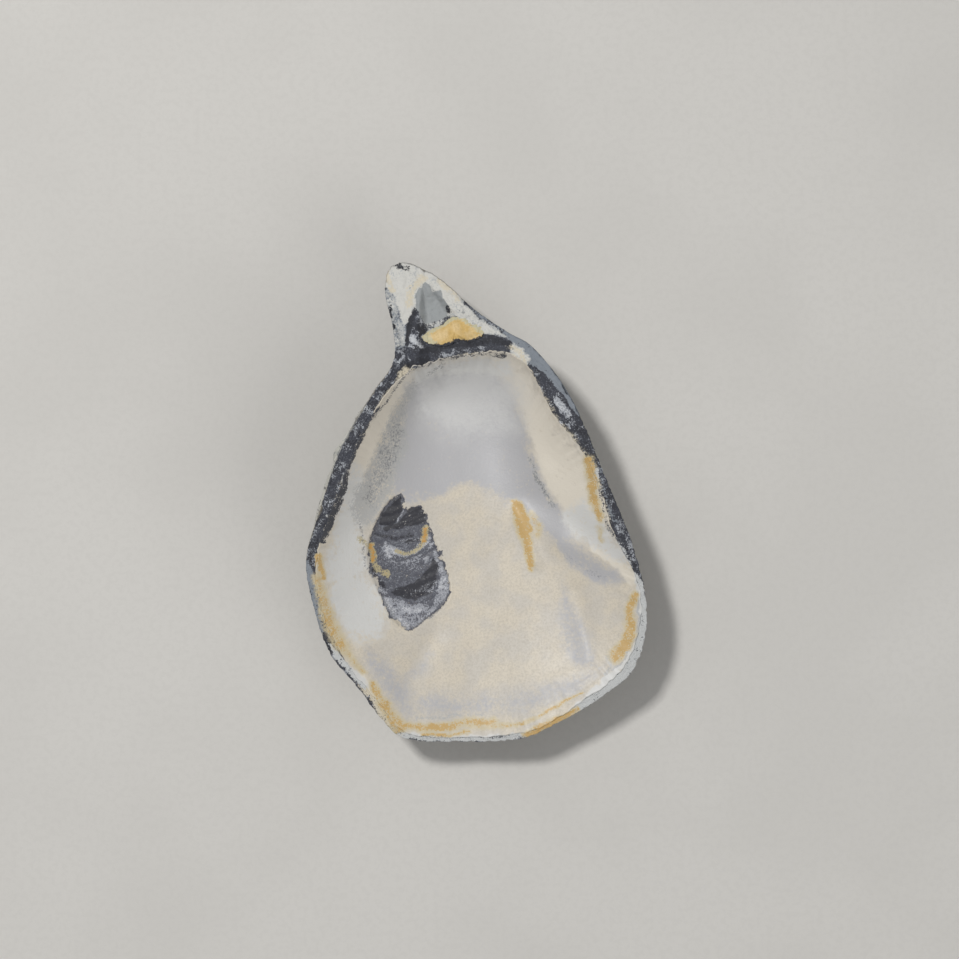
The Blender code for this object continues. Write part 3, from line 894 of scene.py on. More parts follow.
        Stroke(((12.2, 10.6), (13.8, 7), (15.4, 3.6), (17.4, -0.6)), 0.5, 1.1, 0.48),
        Stroke(((21, -12), (24.6, -15.4), (31, -17.8)), 1.6, 1.6, 0.3),
        Stroke(((-27.6, -5), (-26.6, -8), (-26.8, -14.5), (-25, -17)), 0.6, 0.6, 0.48),
        Stroke(((-6.6, -21.6), (-9, -25.6), (-14.6, -29)), 0.5, 0.5, 0.5),
        Stroke(((-24, -19), (-21, -24.6), (-18.4, -28.8)), 0.5, 0.6, 0.5),
        Stroke(((30.4, -5.6), (32.4, -8.2), (34.2, -9.4)), 0.9, 0.6, 0.5),
        Stroke(((-19, 35.2), (-18, 36)), 0.4, 0.4, 0.6),
        Stroke(((-12.6, 41.6), (-9.6, 40.6), (-7.4, 41.8)), 0.5, 0.7, 0.62),
        Stroke(((-3, 42.8), (-2.2, 42)), 0.4, 0.4, 0.62),
        Stroke(((-16, -54.4), (-4, -55.2), (8, -54.6)), 0.5, 0.5, 0.42),
    ),
}


@dataclass
class SurfaceMarks:
    """The stains and colour zones on any surface, seen from above."""

    noise: Noise

    def warped(self, points: Array) -> Array:
        """Places moved by noise, 0.5 mm at 6 mm and 0.45 mm at 1.8 mm and below, so that no
        mark is straight or even.

        Args:
            points: places seen from above.

        Returns:
            The moved places.
        """
        aside = []
        for flat in (level(points), level(points) + 0.37):
            broad, fine = self.noise.at(flat, 6 * MM), self.noise.rough(flat, 1.8 * MM, 3)
            aside.append(0.5 * broad + 0.45 * fine)
        return points + np.stack(aside, axis=-1) * MM

    def at(self, mark: Mark, points: Array) -> Array:
        """How strong a mark is at each place, swelling and fading by a quarter along it."""
        fade = 1 + 0.25 * self.noise.rough(level(points) + 0.71, 5 * MM, 2)
        return strokes_at(MARKS[mark], self.warped(points)) * fade

    def several(self, marks: tuple[Mark, ...], points: Array) -> dict[str, Array]:
        """Several marks at each place, by name."""
        return {mark.value: self.at(mark, points) for mark in marks}


# The scar's bands: dark crescents, pale ones and gold stains at their ends.
SCAR_DARK: Blots = (
    Patch(((-18, 1.8), (-20.3, 0.5), (-22.2, -2.5), (-23.2, -5), (-20, -5.6), (-18.8, -4.6),
           (-17.8, -1.6)), 0.4, 1.1),
    Patch(((-16.2, -1.9), (-15, -0.7), (-13.2, -1.1), (-12, -3), (-12.4, -5), (-15.5, -5.4),
           (-18.3, -5.8), (-17.8, -4.4)), 0.4, 1),
    Stroke(((-21.6, -6.3), (-18.5, -5.8), (-15.2, -4.9), (-12.6, -4.2)), 0.6, 0.5, 1.2),
    Stroke(((-16.2, -9.4), (-14.6, -8.9), (-13.4, -9.2)), 0.6, 0.5, 1.3),
    Patch(((-9.8, -12.6), (-9, -15.5), (-9.6, -18.5), (-10.2, -21), (-12.5, -22.1), (-15, -23.2),
           (-17.6, -22.8), (-20.2, -21.2), (-18, -20), (-15, -19.2), (-12.6, -17.4), (-11, -15)), 0.5,
           1.25),
    Stroke(((-24.6, -15.8), (-23.4, -18.2), (-21.8, -19.8)), 0.5, 0.7, 0.9),
    Stroke(((-23.8, -7.4), (-19, -8.4), (-15, -7.4)), 0.7, 0.6, 0.62),
)

SCAR_PALE: Blots = (
    Stroke(((-17.3, -1.6), (-18.1, -3.2), (-18.8, -4.8)), 0.3, 0.25, 0.9),
    Stroke(((-20.4, -10.6), (-19, -11.7), (-16.5, -12.3), (-14.4, -11.3), (-12.7, -10.2),
            (-11.4, -8.6)), 0.95, 0.8, 1.2),
    Stroke(((-21.7, -11.5), (-20.6, -13.8), (-18.5, -14.5), (-16.4, -14.1), (-14, -13.2), (-12, -12.4)),
            0.45, 0.6, 0.8),
    Patch(((-11, -10), (-9.2, -11.2), (-7.6, -15.5), (-6.2, -19.3), (-6.8, -22.2), (-9, -24.4),
           (-11.5, -25.4), (-10, -22.6), (-9.1, -20), (-8.9, -17), (-9.7, -13.5)), 0.5, 0.95),
    Patch(((-23.8, -19.6), (-21.5, -20.6), (-19, -22.8), (-16, -24), (-13, -23.6), (-10.5, -22.6),
           (-9, -24.4), (-12, -27.4), (-15, -30), (-17.2, -29.8), (-19.9, -27.8), (-21.9, -24.2),
           (-23.3, -21.6)), 0.5, 0.8),
    Stroke(((-24.6, -17.4), (-22.6, -21.4), (-19.8, -26.4), (-16.4, -29)), 0.6, 0.9, 1.5),
    Stroke(((-18.4, -24.4), (-15.4, -26), (-13.4, -25)), 0.6, 0.6, 1.3),
    Stroke(((-21.6, -9.2), (-21.2, -11.4), (-20.4, -13)), 0.4, 0.5, 1.3),
    Stroke(((-12.2, -13.4), (-11.1, -11.8), (-10.8, -10)), 0.7, 0.6, 0.75),
    Stroke(((-16, -16), (-13.2, -15.2), (-11.6, -13.8)), 0.4, 0.5, 0.6),
)

SCAR_GOLD: Blots = (
    Stroke(((-12, -6), (-12.5, -9.2)), 0.75, 0.7, 1.35),
    Stroke(((-18.8, -11.6), (-16, -12.1), (-13.6, -10.9), (-12.4, -9.6)), 0.8, 0.8, 0.7),
    Stroke(((-24.9, -10.2), (-24.6, -13.8)), 0.75, 0.7, 1.4),
    Stroke(((-24.4, -14.6), (-23, -16.2), (-21.2, -16.8)), 1.1, 1, 0.7),
    Stroke(((-27.4, -8.6), (-26, -9.6)), 0.9, 0.8, 0.75),
)


@dataclass
class MuscleScar:
    """The dark scar of the closing muscle: a shallow dent with crescent bands.

    The bands are arcs round a point above the scar, from the oldest at its top to the
    youngest at its foot. Arc numbers are distances from that point in millimetres.
    """

    depth: float = 0.7 * MM
    band_radius: float = 26.0
    border: tuple[Point, ...] = (
        (-18.2, 1.8), (-17.4, -0.8), (-16.4, -1.7), (-15.0, -0.7), (-13.2, -1.1), (-12.0, -2.6),
        (-11.5, -4.8), (-10.6, -7.4), (-9.4, -10.4), (-8.2, -13.8), (-7.2, -16.8), (-6.4, -19.8),
        (-6.7, -22.4), (-8.6, -25.0), (-11.8, -27.5), (-14.8, -29.6), (-17.0, -29.4), (-19.6, -27.6),
        (-21.4, -24.6), (-22.6, -21.6), (-23.8, -18.8), (-25.2, -15.6), (-25.7, -12.4), (-25.4, -9.0),
        (-24.4, -6.6), (-23.6, -4.2), (-22.2, -1.8), (-20.4, 0.6),
    )
    middle: Array = field(default_factory=lambda: np.array((-16.8, -13.5)) * MM)
    band_centre: Array = field(default_factory=lambda: np.array((-23.0, 12.0)) * MM)
    loop: Loop = field(init=False)

    def __post_init__(self) -> None:
        """Makes the border's curve."""
        self.loop = Loop(self.border, self.middle)

    def arc(self, points: Array) -> Array:
        """Distance from the bands' centre, in millimetres."""
        return polar(points, self.band_centre)[1] / MM

    def inside(self, points: Array, soft: float = 0.5 * MM) -> Array:
        """1 inside the border and 0 outside it, with an S of width soft across it."""
        return 1 - ramp(self.loop.beyond(points), -soft, soft)

    def relief(self, points: Array, noise: Noise) -> Array:
        """The dent, deeper towards its foot, with ridges along the arcs and rough grain.

        A raised rim exp(-(distance / 0.7 mm)^2) follows its border.

        Args:
            points: places seen from above.
            noise: the lining's noise.

        Returns:
            Heights in metres.
        """
        flat = level(points)
        arc = self.arc(points) + 0.8 * noise.at(flat, 6 * MM)
        down = ramp(arc, 10, 40)
        ridges = 0.11 * np.sin(arc * TURN / 2.1) + 0.09 * noise.rough(flat, 0.9 * MM, 2)
        edge = np.exp(-((self.loop.beyond(points) / (0.7 * MM)) ** 2))
        dent = ridges * MM - self.depth * (0.65 + 0.5 * down)
        return self.inside(points) * dent + 0.12 * MM * edge

    def marks(self, points: Array, noise: Noise) -> dict[str, Array]:
        """The scar's own marks: slate body, ink-dark crescents, pale streaks and gold ends.

        Streaks run along the arcs: noise of 0.9 mm across them and 7 mm along them.

        Args:
            points: places seen from above.
            noise: the lining's noise.

        Returns:
            The marks by name.
        """
        flat = level(points)
        stray = noise.rough(flat, 3 * MM, 3)
        arc = self.arc(points)
        along = polar(points, self.band_centre)[0] * self.band_radius
        drawn = np.stack([(arc + stray) / 0.9, along / 7, np.zeros_like(arc)], axis=-1)
        streaky = noise.rough(drawn, 1.0, 3)
        ragged = 0.45 * stray + 0.6 * noise.rough(flat + 0.3, 1.2 * MM, 2)
        inside = self.inside(points + MM * ragged[..., None], 0.7 * MM)
        moved = SurfaceMarks(noise).warped(points)
        dark = strokes_at(SCAR_DARK, moved) * (1 + 0.35 * streaky)
        pale = strokes_at(SCAR_PALE, moved) * (1 + 0.75 * streaky)
        ground = (0.3 + 0.42 * streaky) * ramp(arc, 18.5, 22.5)
        return {
            Mark.SLATE.value: inside,
            Mark.INK.value: inside * np.clip(dark, 0, 1.4),
            Mark.STREAK.value: inside * np.clip(np.maximum(pale, ground), 0, 1.4),
            Mark.AMBER.value: strokes_at(SCAR_GOLD, moved),
        }


@dataclass
class NacreLining:
    """The smooth porcelain lining of the hollow, a thin closed skin with a rolled edge."""

    form: ShellForm
    scar: MuscleScar
    noise: Noise
    columns: int = 720
    rows: int = 112
    crowd: float = 1.3
    rolled: tuple[Point, ...] = ((0.10, 0.06), (0.19, 0.20), (0.20, 0.42), (-0.10, 0.60))
    under: tuple[float, ...] = (0.03, 0.07, 0.12, 0.18, 0.26, 0.36, 0.5, 0.7, 0.9)
    under_share: float = 0.55
    under_pole: float = 3.2 * MM

    def relief(self, points: Array, share: Array) -> Array:
        """Height added to the formula's bowl.

        Broad swells of 15 and 5.5 mm, fine grain of 1.3 mm, growth ripples that fade within
        6 and 15 mm of the edge, and the scar.

        Args:
            points: places seen from above.
            share: 0 at the lining's edge and 1 in the middle.

        Returns:
            Heights in metres.
        """
        flat = level(points)
        angle, distance = self.form.polar(points)
        inward = self.form.lining.reach(angle) - distance
        swell = 0.26 * self.noise.at(flat, 15 * MM) + 0.09 * self.noise.at(flat, 5.5 * MM)
        grain = 0.018 * self.noise.rough(flat, 1.3 * MM, 2)
        phase = inward / MM + 0.9 * self.noise.at(flat, 9 * MM)
        patchy = ramp(self.noise.at(flat + 0.9, 12 * MM), -0.4, 0.5)
        ripples = 0.035 * np.sin(phase * TURN / 1.7) * np.exp(-((inward / (6 * MM)) ** 2))
        growth = 0.02 * np.sin(phase * TURN / 4.3 + 1.0) * np.exp(-((inward / (15 * MM)) ** 2))
        height = (swell + grain + (ripples + growth) * patchy) * MM * ramp(share, 0.0, 0.05)
        return height + self.scar.relief(points, self.noise)

    def rim_stray(self, angle: Array) -> Array:
        """How far the lining's edge strays from its line: 0.4 mm of noise, and 0.8 mm along
        the hinge.

        Args:
            angle: angles in radians.

        Returns:
            Distances in metres.
        """
        points = self.form.around(angle, self.form.lining.reach(angle))
        flat = level(points)
        plate = self.form.edge.reach(angle) - self.form.lining.reach(angle)
        room = 0.4 * MM + 0.4 * MM * ramp(plate, 3 * MM, 9 * MM)
        return room * self.noise.rough(flat, 2.4 * MM, 3)

    def build(self) -> bpy.types.Object:
        """Samples the bowl on rings from its middle to its edge, rolls the edge over and
        closes the skin with coarser rings inside the shell's wall.

        Ring numbers go as t^1.3, so rings crowd at the edge. The rolled numbers are
        millimetres outwards and down from the last ring.

        Returns:
            The new object.
        """
        form = self.form
        angle = form.polar(form.lining.columns(self.columns))[0][None, :]
        inner, stray = form.lining.reach(angle), self.rim_stray(angle)
        share = (np.linspace(0, 1, self.rows + 1)[:-1] ** self.crowd)[::-1, None]
        reach = inner * (1 - share) + stray * ramp(1 - share, 0.8, 1.0)
        angles, shares = np.broadcast_to(angle, reach.shape), np.broadcast_to(share, reach.shape)
        points = form.around(angles, reach)
        top = raised(points, form.bowl_height(angles, shares) + self.relief(points, shares))
        outward = np.stack([np.cos(angle), np.sin(angle), 0 * angle], -1)
        roll = [top[-1:] + outward * out * MM - (0, 0, down * MM) for out, down in self.rolled]
        below = np.array(self.under)[:, None]
        spots = form.around(np.repeat(angle, len(below), 0), inner * (1 - below))
        rings = np.concatenate([top, *roll, form.core(spots, self.under_share)])
        middle = form.middle[None, :]
        high = form.folds(middle)[0] + form.floor_height + self.relief(middle, np.ones(1))[0]
        poles = tuple(np.array((*form.middle, height)) for height in (high, self.under_pole))
        return closed_body("nacre_lining", rings, self.marks(rings), form.box, poles)

    def marks(self, rings: Array) -> dict[str, Array]:
        """Every mark of the lining on all rings.

        Args:
            rings: places, rings by columns by three.

        Returns:
            The marks by name.
        """
        points = rings[..., :2]
        kinds = (
            Mark.CREAM, Mark.WHITE, Mark.LAVENDER_AND_SHADE, Mark.PAINTED_LIGHT, Mark.SHADE, Mark.GOLD, Mark.SPECK,
            Mark.EDGE,
        )
        return SurfaceMarks(self.noise).several(kinds, points) | self.scar.marks(points, self.noise)


@dataclass
class Margin:
    """The flaky margin round the lining, with the hinge plate and the layered rim."""

    form: ShellForm
    noise: Noise
    columns: int = 960
    rows: int = 64
    face_rows: int = 18
    crowd: float = 0.4
    step: float = 0.35 * MM
    tuck: float = 1.3 * MM
    fewest_layers: float = 2.6
    layer_thickness: float = 0.75 * MM

    def relief(self, points: Array, angle: Array, share: Array) -> Array:
        """Height added to the slope.

        Layers end in small steps: a sawtooth in the distance from the edge, or on the hinge
        plate in the distance from the lining, bent by noise. Chalky grain lies on top, and
        the chalk itself stands 0.2 mm proud.

        Args:
            points: places seen from above.
            angle: their angles.
            share: 0 at the shell's edge and 1 at the lining.

        Returns:
            Heights in metres.
        """
        flat = level(points)
        plate = self.form.edge.reach(angle) - self.form.lining.reach(angle)
        hinge = ramp(plate, 4 * MM, 11 * MM)
        depth = plate * share * (1 - hinge) + plate * (1 - share) * hinge
        stray = self.noise.rough(flat, 6 * MM, 3)
        phase = depth / ((0.9 + 0.5 * hinge) * MM) + 1.3 * stray
        part = phase - np.floor(phase)
        saw = part - ramp(part, 0.8, 1.0)
        steps = (0.18 + 0.14 * hinge) * saw
        chalk = (0.14 + 0.2 * hinge) * self.noise.rough(flat, 2.4 * MM, 4)
        along, across = self.form.groove_place(points)
        floor = ramp(along, 0.1, 0.4) * (1 - ramp(np.abs(across), 0.5, 1.0))
        quiet = 1 - 0.6 * floor
        fibres = 0.05 * floor * np.sin(along * 90 + 3 * stray)
        fade = ramp(share, 0.0, 0.1) * (1 - ramp(share, 0.93, 1.05))
        torn = 1 + 0.9 * self.noise.rough(flat, 1.1 * MM, 3)
        crust = 0.2 * np.clip(SurfaceMarks(self.noise).at(Mark.CHALK, points) * torn, 0, 1)
        return ((steps + chalk) * quiet + fibres + crust) * MM * fade

    def chip(self, points: Array) -> Array:
        """How far the rim is worn back: raggedness of 0.46 mm and a few chips of 0.45 mm.

        Args:
            points: places along the edge, seen from above.

        Returns:
            Distances in metres.
        """
        flat = level(points)
        fine = 0.46 * np.abs(self.noise.rough(flat, 1.7 * MM, 3))
        large = 0.45 * ramp(self.noise.at(flat + 0.2, 5.0 * MM), 0.35, 0.6)
        return (fine + large) * MM

    def layers(self, edge: Array, thick: Array, up: Array) -> Array:
        """The thin layers of the rim's face: |sin(pi n (f + wander))| at share f of the way
        up, 1 in the middle of a layer and 0 in a groove, for n layers whose lines wander by
        noise.

        Args:
            edge: places along the edge.
            thick: thickness of the edge, as one row.
            up: share of the way up for each ring, as one column.

        Returns:
            The value at each place, rings by columns.
        """
        wander = 0.12 * self.noise.rough(level(edge)[None], 5 * MM, 3)
        count = self.fewest_layers + thick / self.layer_thickness
        return np.abs(np.sin(math.pi * count * (up + wander)))

    def build(self) -> bpy.types.Object:
        """Rings up the rim's face, over the margin to under the lining, and back inside.

        The marks of the top fade down the face, and the layers' pale edges fade up it.

        Returns:
            The new object.
        """
        form = self.form
        edge = form.edge.columns(self.columns, self.crowd)
        angle, distance = (value[None, :] for value in form.polar(edge))
        inner, thick = form.lining.reach(angle), form.thickness(angle)
        chip = self.chip(edge)[None, :]
        up = np.linspace(0, 1, self.face_rows)[:, None]
        layers = self.layers(edge, thick, up)
        face = self.face(edge, thick, chip, layers)
        share = np.linspace(0, 1, self.rows)[:, None] ** 0.9
        reach = (distance - chip - 0.12 * MM) * (1 - share) + inner * share
        angles, shares = np.broadcast_to(angle, reach.shape), np.broadcast_to(share, reach.shape)
        points = form.around(angles, reach)
        height = form.margin_height(angles, shares, self.step) + self.relief(points, angles, shares)
        upper = raised(points, height - 0.05 * MM * (1 - ramp(shares, 0, 0.08)))
        tuck = form.core(form.around(angle, inner - self.tuck), 0.45)
        back = [
            form.core(form.around(angle, inner + (distance - inner) * t), 0.3) for t in (0.0, 0.35, 0.7)
        ]
        rings = np.concatenate([face, upper, tuck, *back])
        stack = layers * (1 - ramp(up, 0.7, 1.0))
        spare = np.zeros((len(rings) - len(face), self.columns))
        stack = np.concatenate([stack[:1], stack, spare])
        shown = np.concatenate([0 * up[:1], ramp(up, 0.5, 1.0), np.ones((len(spare), 1))])
        marks = self.marks(rings, shown, stack)
        return closed_body("margin_and_hinge_plate", rings, marks, form.box)

    def face(self, edge: Array, thick: Array, chip: Array, layers: Array) -> Array:
        """The rim's outer face: thin layers with grooves between them, from its foot up.

        A ring lies inwards by 0.1 mm, by 0.26 mm in a groove and up to three times that
        where the edge is thick, by ragged noise, and by the slope down to the foot.

        Args:
            edge: places along the edge.
            thick: thickness of the edge, as one row.
            chip: how far the rim is worn back, as one row.
            layers: the layers' value, rings by columns.

        Returns:
            The face's places, rings by columns by three.
        """
        angle, distance = (value[None, :] for value in self.form.polar(edge))
        share = np.linspace(0, 1, self.face_rows)[:, None]
        strayed = level(edge)[None] + share[..., None] * 4 * MM
        ragged = 0.14 * np.abs(self.noise.rough(strayed, 1.3 * MM, 2))
        thickly = ramp(thick, 2.2 * MM, 4.5 * MM)
        worn = 0.10 + (0.26 + 0.5 * thickly) * (1 - layers) + (1 + 2 * thickly) * ragged
        inward = worn * MM + chip + 0.0042 * distance * (1 - share)
        points = self.form.around(np.broadcast_to(angle, inward.shape), distance - inward)
        face = raised(points, self.form.edge_height(angle) - thick * (1 - share) * 1.02 - 0.05 * MM)
        foot = face[:1] - 0.02 * (face[:1] - np.array((*self.form.middle, 0.0))) * (1, 1, 0)
        return np.concatenate([foot + (0, 0, 0.2 * MM), face])

    def marks(self, rings: Array, shown: Array, stack: Array) -> dict[str, Array]:
        """Every mark of the margin and the hinge plate on all rings.

        Args:
            rings: places, rings by columns by three.
            shown: share of the top's marks that each ring shows; they fade down the face.
            stack: how near the pale edge of one of the face's layers each place is.

        Returns:
            The marks by name.
        """
        points = rings[..., :2]
        kinds = (
            Mark.CREAM, Mark.WHITE, Mark.SHADE, Mark.GOLD, Mark.CHALK, Mark.BLUE, Mark.GROOVE,
            Mark.INK, Mark.FLAKE, Mark.SPECK,
        )
        marks = SurfaceMarks(self.noise).several(kinds, points)
        marks = {name: value * shown for name, value in marks.items()}
        crust = self.noise.rough(level(points), 2.4 * MM, 4)
        marks[Mark.FLAKE.value] = np.maximum(marks[Mark.FLAKE.value], 0.31) + 0.26 * crust
        marks[Mark.LIP.value] = stack
        return marks


@dataclass
class OuterWall:
    """The rough outside: growth plates that overlap like shingles from umbo to edge.

    It is made in two closed bodies, the younger plates near the edge and the older ones
    round the umbo.
    """

    form: ShellForm
    noise: Noise
    columns: int = 760
    umbo_columns: int = 640
    split: int = 4
    crowd: float = 0.3
    lip_rows: int = 10
    hidden_rows: int = 10
    tear: float = 0.55 * MM
    relief_height: float = 0.9 * MM
    edge_profile: tuple[tuple[float, float, float], ...] = (
        (0.035, -0.05, 0.0), (0.018, 0.3, 0.1), (0.0, 0.62, 0.6), (-0.012, 0.85, 1.0),
        (-0.006, 1.0, 1.0), (0.02, 1.0, 0.75), (0.05, 0.96, 0.4),
    )
    finer_profile: tuple[tuple[float, float, float], ...] = (
        (-0.02, 0.0, 0.0), (0.0, 0.05, 0.3), (-0.004, 0.2, 0.9), (0.02, 0.24, 0.8),
        (0.07, 0.12, 0.2),
    )
    finer_depths: tuple[float, ...] = (0.2, 0.42, 0.62, 0.82)
    back_line: tuple[Point, ...] = ((0.05, 0.96), (0.5, 0.42), (1.0, 0.02))

    def plate(self, number: int, turn: Array) -> tuple[Array, Array, Array]:
        """One growth plate: its foot, its free edge and its back with four finer plates.

        Along a plate, depth runs from 0 at its free edge to 1 at the next foot. The free
        edge overhangs its own foot. A finer plate adds a lip of its own to the back's line.
        The profiles' rows are depth, lift and nearness to a free edge.

        Args:
            number: the plate's number, 0 at the shell's edge.
            turn: angle round the shell for each column.

        Returns:
            Growth shares, lifts in metres and how near a free edge each place is, each as
            rings by columns.
        """
        outer, inner = self.form.plate_edges[number : number + 2]
        rows = [self.edge_profile]
        for middle in self.finer_depths:
            base = np.interp(middle, *zip(*self.back_line))
            rows.append([(middle + deep, base + high, lip) for deep, high, lip in self.finer_profile])
        depth, lift, lip = np.concatenate(rows).T[..., None]
        strays = ((3, 0.011), (5, 0.008), (11, 0.005))
        wobble = sum(size * np.sin(n * turn + 2.1 * number * n) for n, size in strays)
        fine = 0.006 * np.sin(23 * turn + 9.0 * depth) + 0.004 * np.sin(37 * turn - 14.0 * depth)
        growth = outer + (inner - outer) * depth + (wobble + fine) * (1 - depth * 0.8)
        wave = 0.75 + 0.35 * np.sin(4 * turn + 1.7 * number)
        return growth, self.form.plate_lift * lift * wave, np.broadcast_to(lip, growth.shape)

    def rough_plates(self, edge: Array, growth: Array, lift: Array, lip: Array) -> tuple[Array, Array]:
        """Plates with worn edges and relief.

        Noise along the plates bends their free edges and wears some flat; along the normal
        go lumps of 9 and 3.4 mm, fine radial ridges sin(52 b) of the bearing b from the umbo,
        and chalky grain.

        Args:
            edge: places along the shell's edge.
            growth: growth shares, rings by columns.
            lift: lifts in metres, rings by columns.
            lip: how near a free edge each place is; only free edges touch the ground.

        Returns:
            The places, and the relief from -1 to 1 for the colours.
        """
        rough = self.form.growth(edge, growth, lift)
        reach = np.linalg.norm(edge - self.form.umbo, axis=-1)
        tear = self.tear * self.noise.rough(rough, 3.2 * MM, 3) * ramp(lift, 0, 0.5 * MM)
        worn = np.clip(1 + 0.9 * self.noise.rough(rough + 0.5, 9 * MM, 2), 0.15, 1.4)
        torn = growth - np.abs(tear) / np.maximum(reach, 9 * MM)
        rings = self.form.growth(edge, torn, lift * worn)
        normal = grid_normals(rings)
        normal *= np.where(normal[..., 2:] > 0.4, -1, 1)
        outward = raised(rings[..., :2] - self.form.middle, -30 * MM)
        normal *= np.sign(np.sum(normal * outward, axis=-1, keepdims=True))
        bearing = polar(rings[..., :2], self.form.umbo)[0]
        small = self.noise.rough(rings + 0.3, 3.4 * MM, 3)
        lumps = 0.30 * self.noise.at(rings, 9 * MM) + 0.22 * small
        relief = lumps + 0.07 * np.sin(52 * bearing + 3 * self.noise.at(rings, 14 * MM))
        fade = ramp(growth, 0.05, 0.2) * (0.25 + 0.75 * ramp(rings[..., 2], 0.0, 1.5 * MM))
        near_edge = 1 - ramp(growth, 0.97, 1.0)
        rings = rings + normal * (relief * fade * near_edge * self.relief_height)[..., None]
        rings[..., 2] = np.maximum(rings[..., 2], 0.25 * MM * (1 - lip))
        return rings, relief

    def body(self, name: str, first: int, last: int) -> bpy.types.Object:
        """One closed body of plates.

        Args:
            name: the piece's name.
            first: number of its outermost plate.
            last: number of the plate after its innermost one.

        Returns:
            The new object.
        """
        form = self.form
        columns = self.columns if first == 0 else self.umbo_columns
        edge = form.edge.columns(columns, self.crowd)
        turn = TURN * np.arange(columns) / columns
        parts = [self.plate(number, turn) for number in range(first, last)]
        growth, lift, lip = (np.concatenate(values) for values in zip(*parts))
        if first == 0:
            start = np.linspace(0.995, 0.962, self.lip_rows)[:, None] + 0 * turn
            growth = np.concatenate([start, growth])
            lift = np.concatenate([0.1 * MM + 0 * start, lift])
            # The first rings' pale lip is the worn pale rim, and also painted light over the ledge just
            # under the rim, which lies in shade.
            lip = np.concatenate([np.linspace(1.2, 0.2, self.lip_rows)[:, None] + 0 * turn, lip])
        to_umbo = last == len(form.plate_edges) - 1
        if not to_umbo:
            growth = np.concatenate([growth, growth[-1:] - 0.05])
            lift = np.concatenate([lift, np.full_like(lift[:1], -0.25 * MM)])
            lip = np.concatenate([lip, np.zeros_like(lip[:1])])
        rings, relief = self.rough_plates(edge, growth, lift, lip)
        inner = 0.0 if to_umbo else float(growth[-1].min()) - 0.03
        shares = np.linspace(inner, growth[0].max(), self.hidden_rows)[int(to_umbo):-1, None, None]
        hidden = form.core(form.umbo + (edge - form.umbo) * shares, 0.3)
        turned = form.core(form.umbo + (edge - form.umbo) * (growth[0] * 0.99)[:, None], 0.2)
        if not to_umbo:
            chain = np.concatenate([rings, hidden, turned[None]])
            return closed_body(name, chain, self.marks(chain, growth, lip, relief), form.box)
        chain = np.concatenate([rings[::-1], turned[None], hidden[::-1]])
        marks = self.marks(chain, growth[::-1], lip[::-1], relief[::-1])
        umbo = form.umbo[None, :]
        heights = form.outside_height(umbo)[0] - form.plate_lift / 2, form.core(umbo, 0.3)[0, 2]
        poles = tuple(np.array((*form.umbo, height)) for height in heights)
        return closed_body(name, chain, marks, form.box, poles)

    def marks(self, chain: Array, growth: Array, lip: Array, relief: Array) -> dict[str, Array]:
        """Marks of the outside: free edges, relief, tan bands and the flow of the streaks.

        The flow is (cos, sin, 0.8 * growth) of the bearing from the umbo, so that a pattern
        on it runs out from the umbo. The chain is longer than the values, by its hidden
        rings.

        Args:
            chain: places on all rings.
            growth: growth shares on the first rings.
            lip: how near a free edge each of their places is.
            relief: their relief from -1 to 1.

        Returns:
            The marks by name.
        """
        spare = np.zeros((len(chain) - len(growth), growth.shape[1]))
        growth, lip, relief = (np.concatenate([value, spare]) for value in (growth, lip, relief))
        bearing = polar(chain[..., :2], self.form.umbo)[0]
        flow = np.stack([np.cos(bearing), np.sin(bearing), growth * 0.8], axis=-1)
        return {
            Mark.LIP.value: lip,
            Mark.RELIEF.value: relief,
            Mark.TAN.value: 0.5 + 0.7 * self.noise.rough(flow * (7, 7, 2.4), 1.0, 3),
            Mark.FLOW.value: flow,
            Mark.BLUE.value: SurfaceMarks(self.noise).at(Mark.BLUE, chain[..., :2]),
        }

    def build(self) -> list[bpy.types.Object]:
        """Both bodies of the outside.

        Returns:
            The younger plates and the older ones.
        """
        last = len(self.form.plate_edges) - 1
        return [
            self.body("outer_growth_plates", 0, self.split),
            self.body("umbo_growth_plates", self.split, last),
        ]


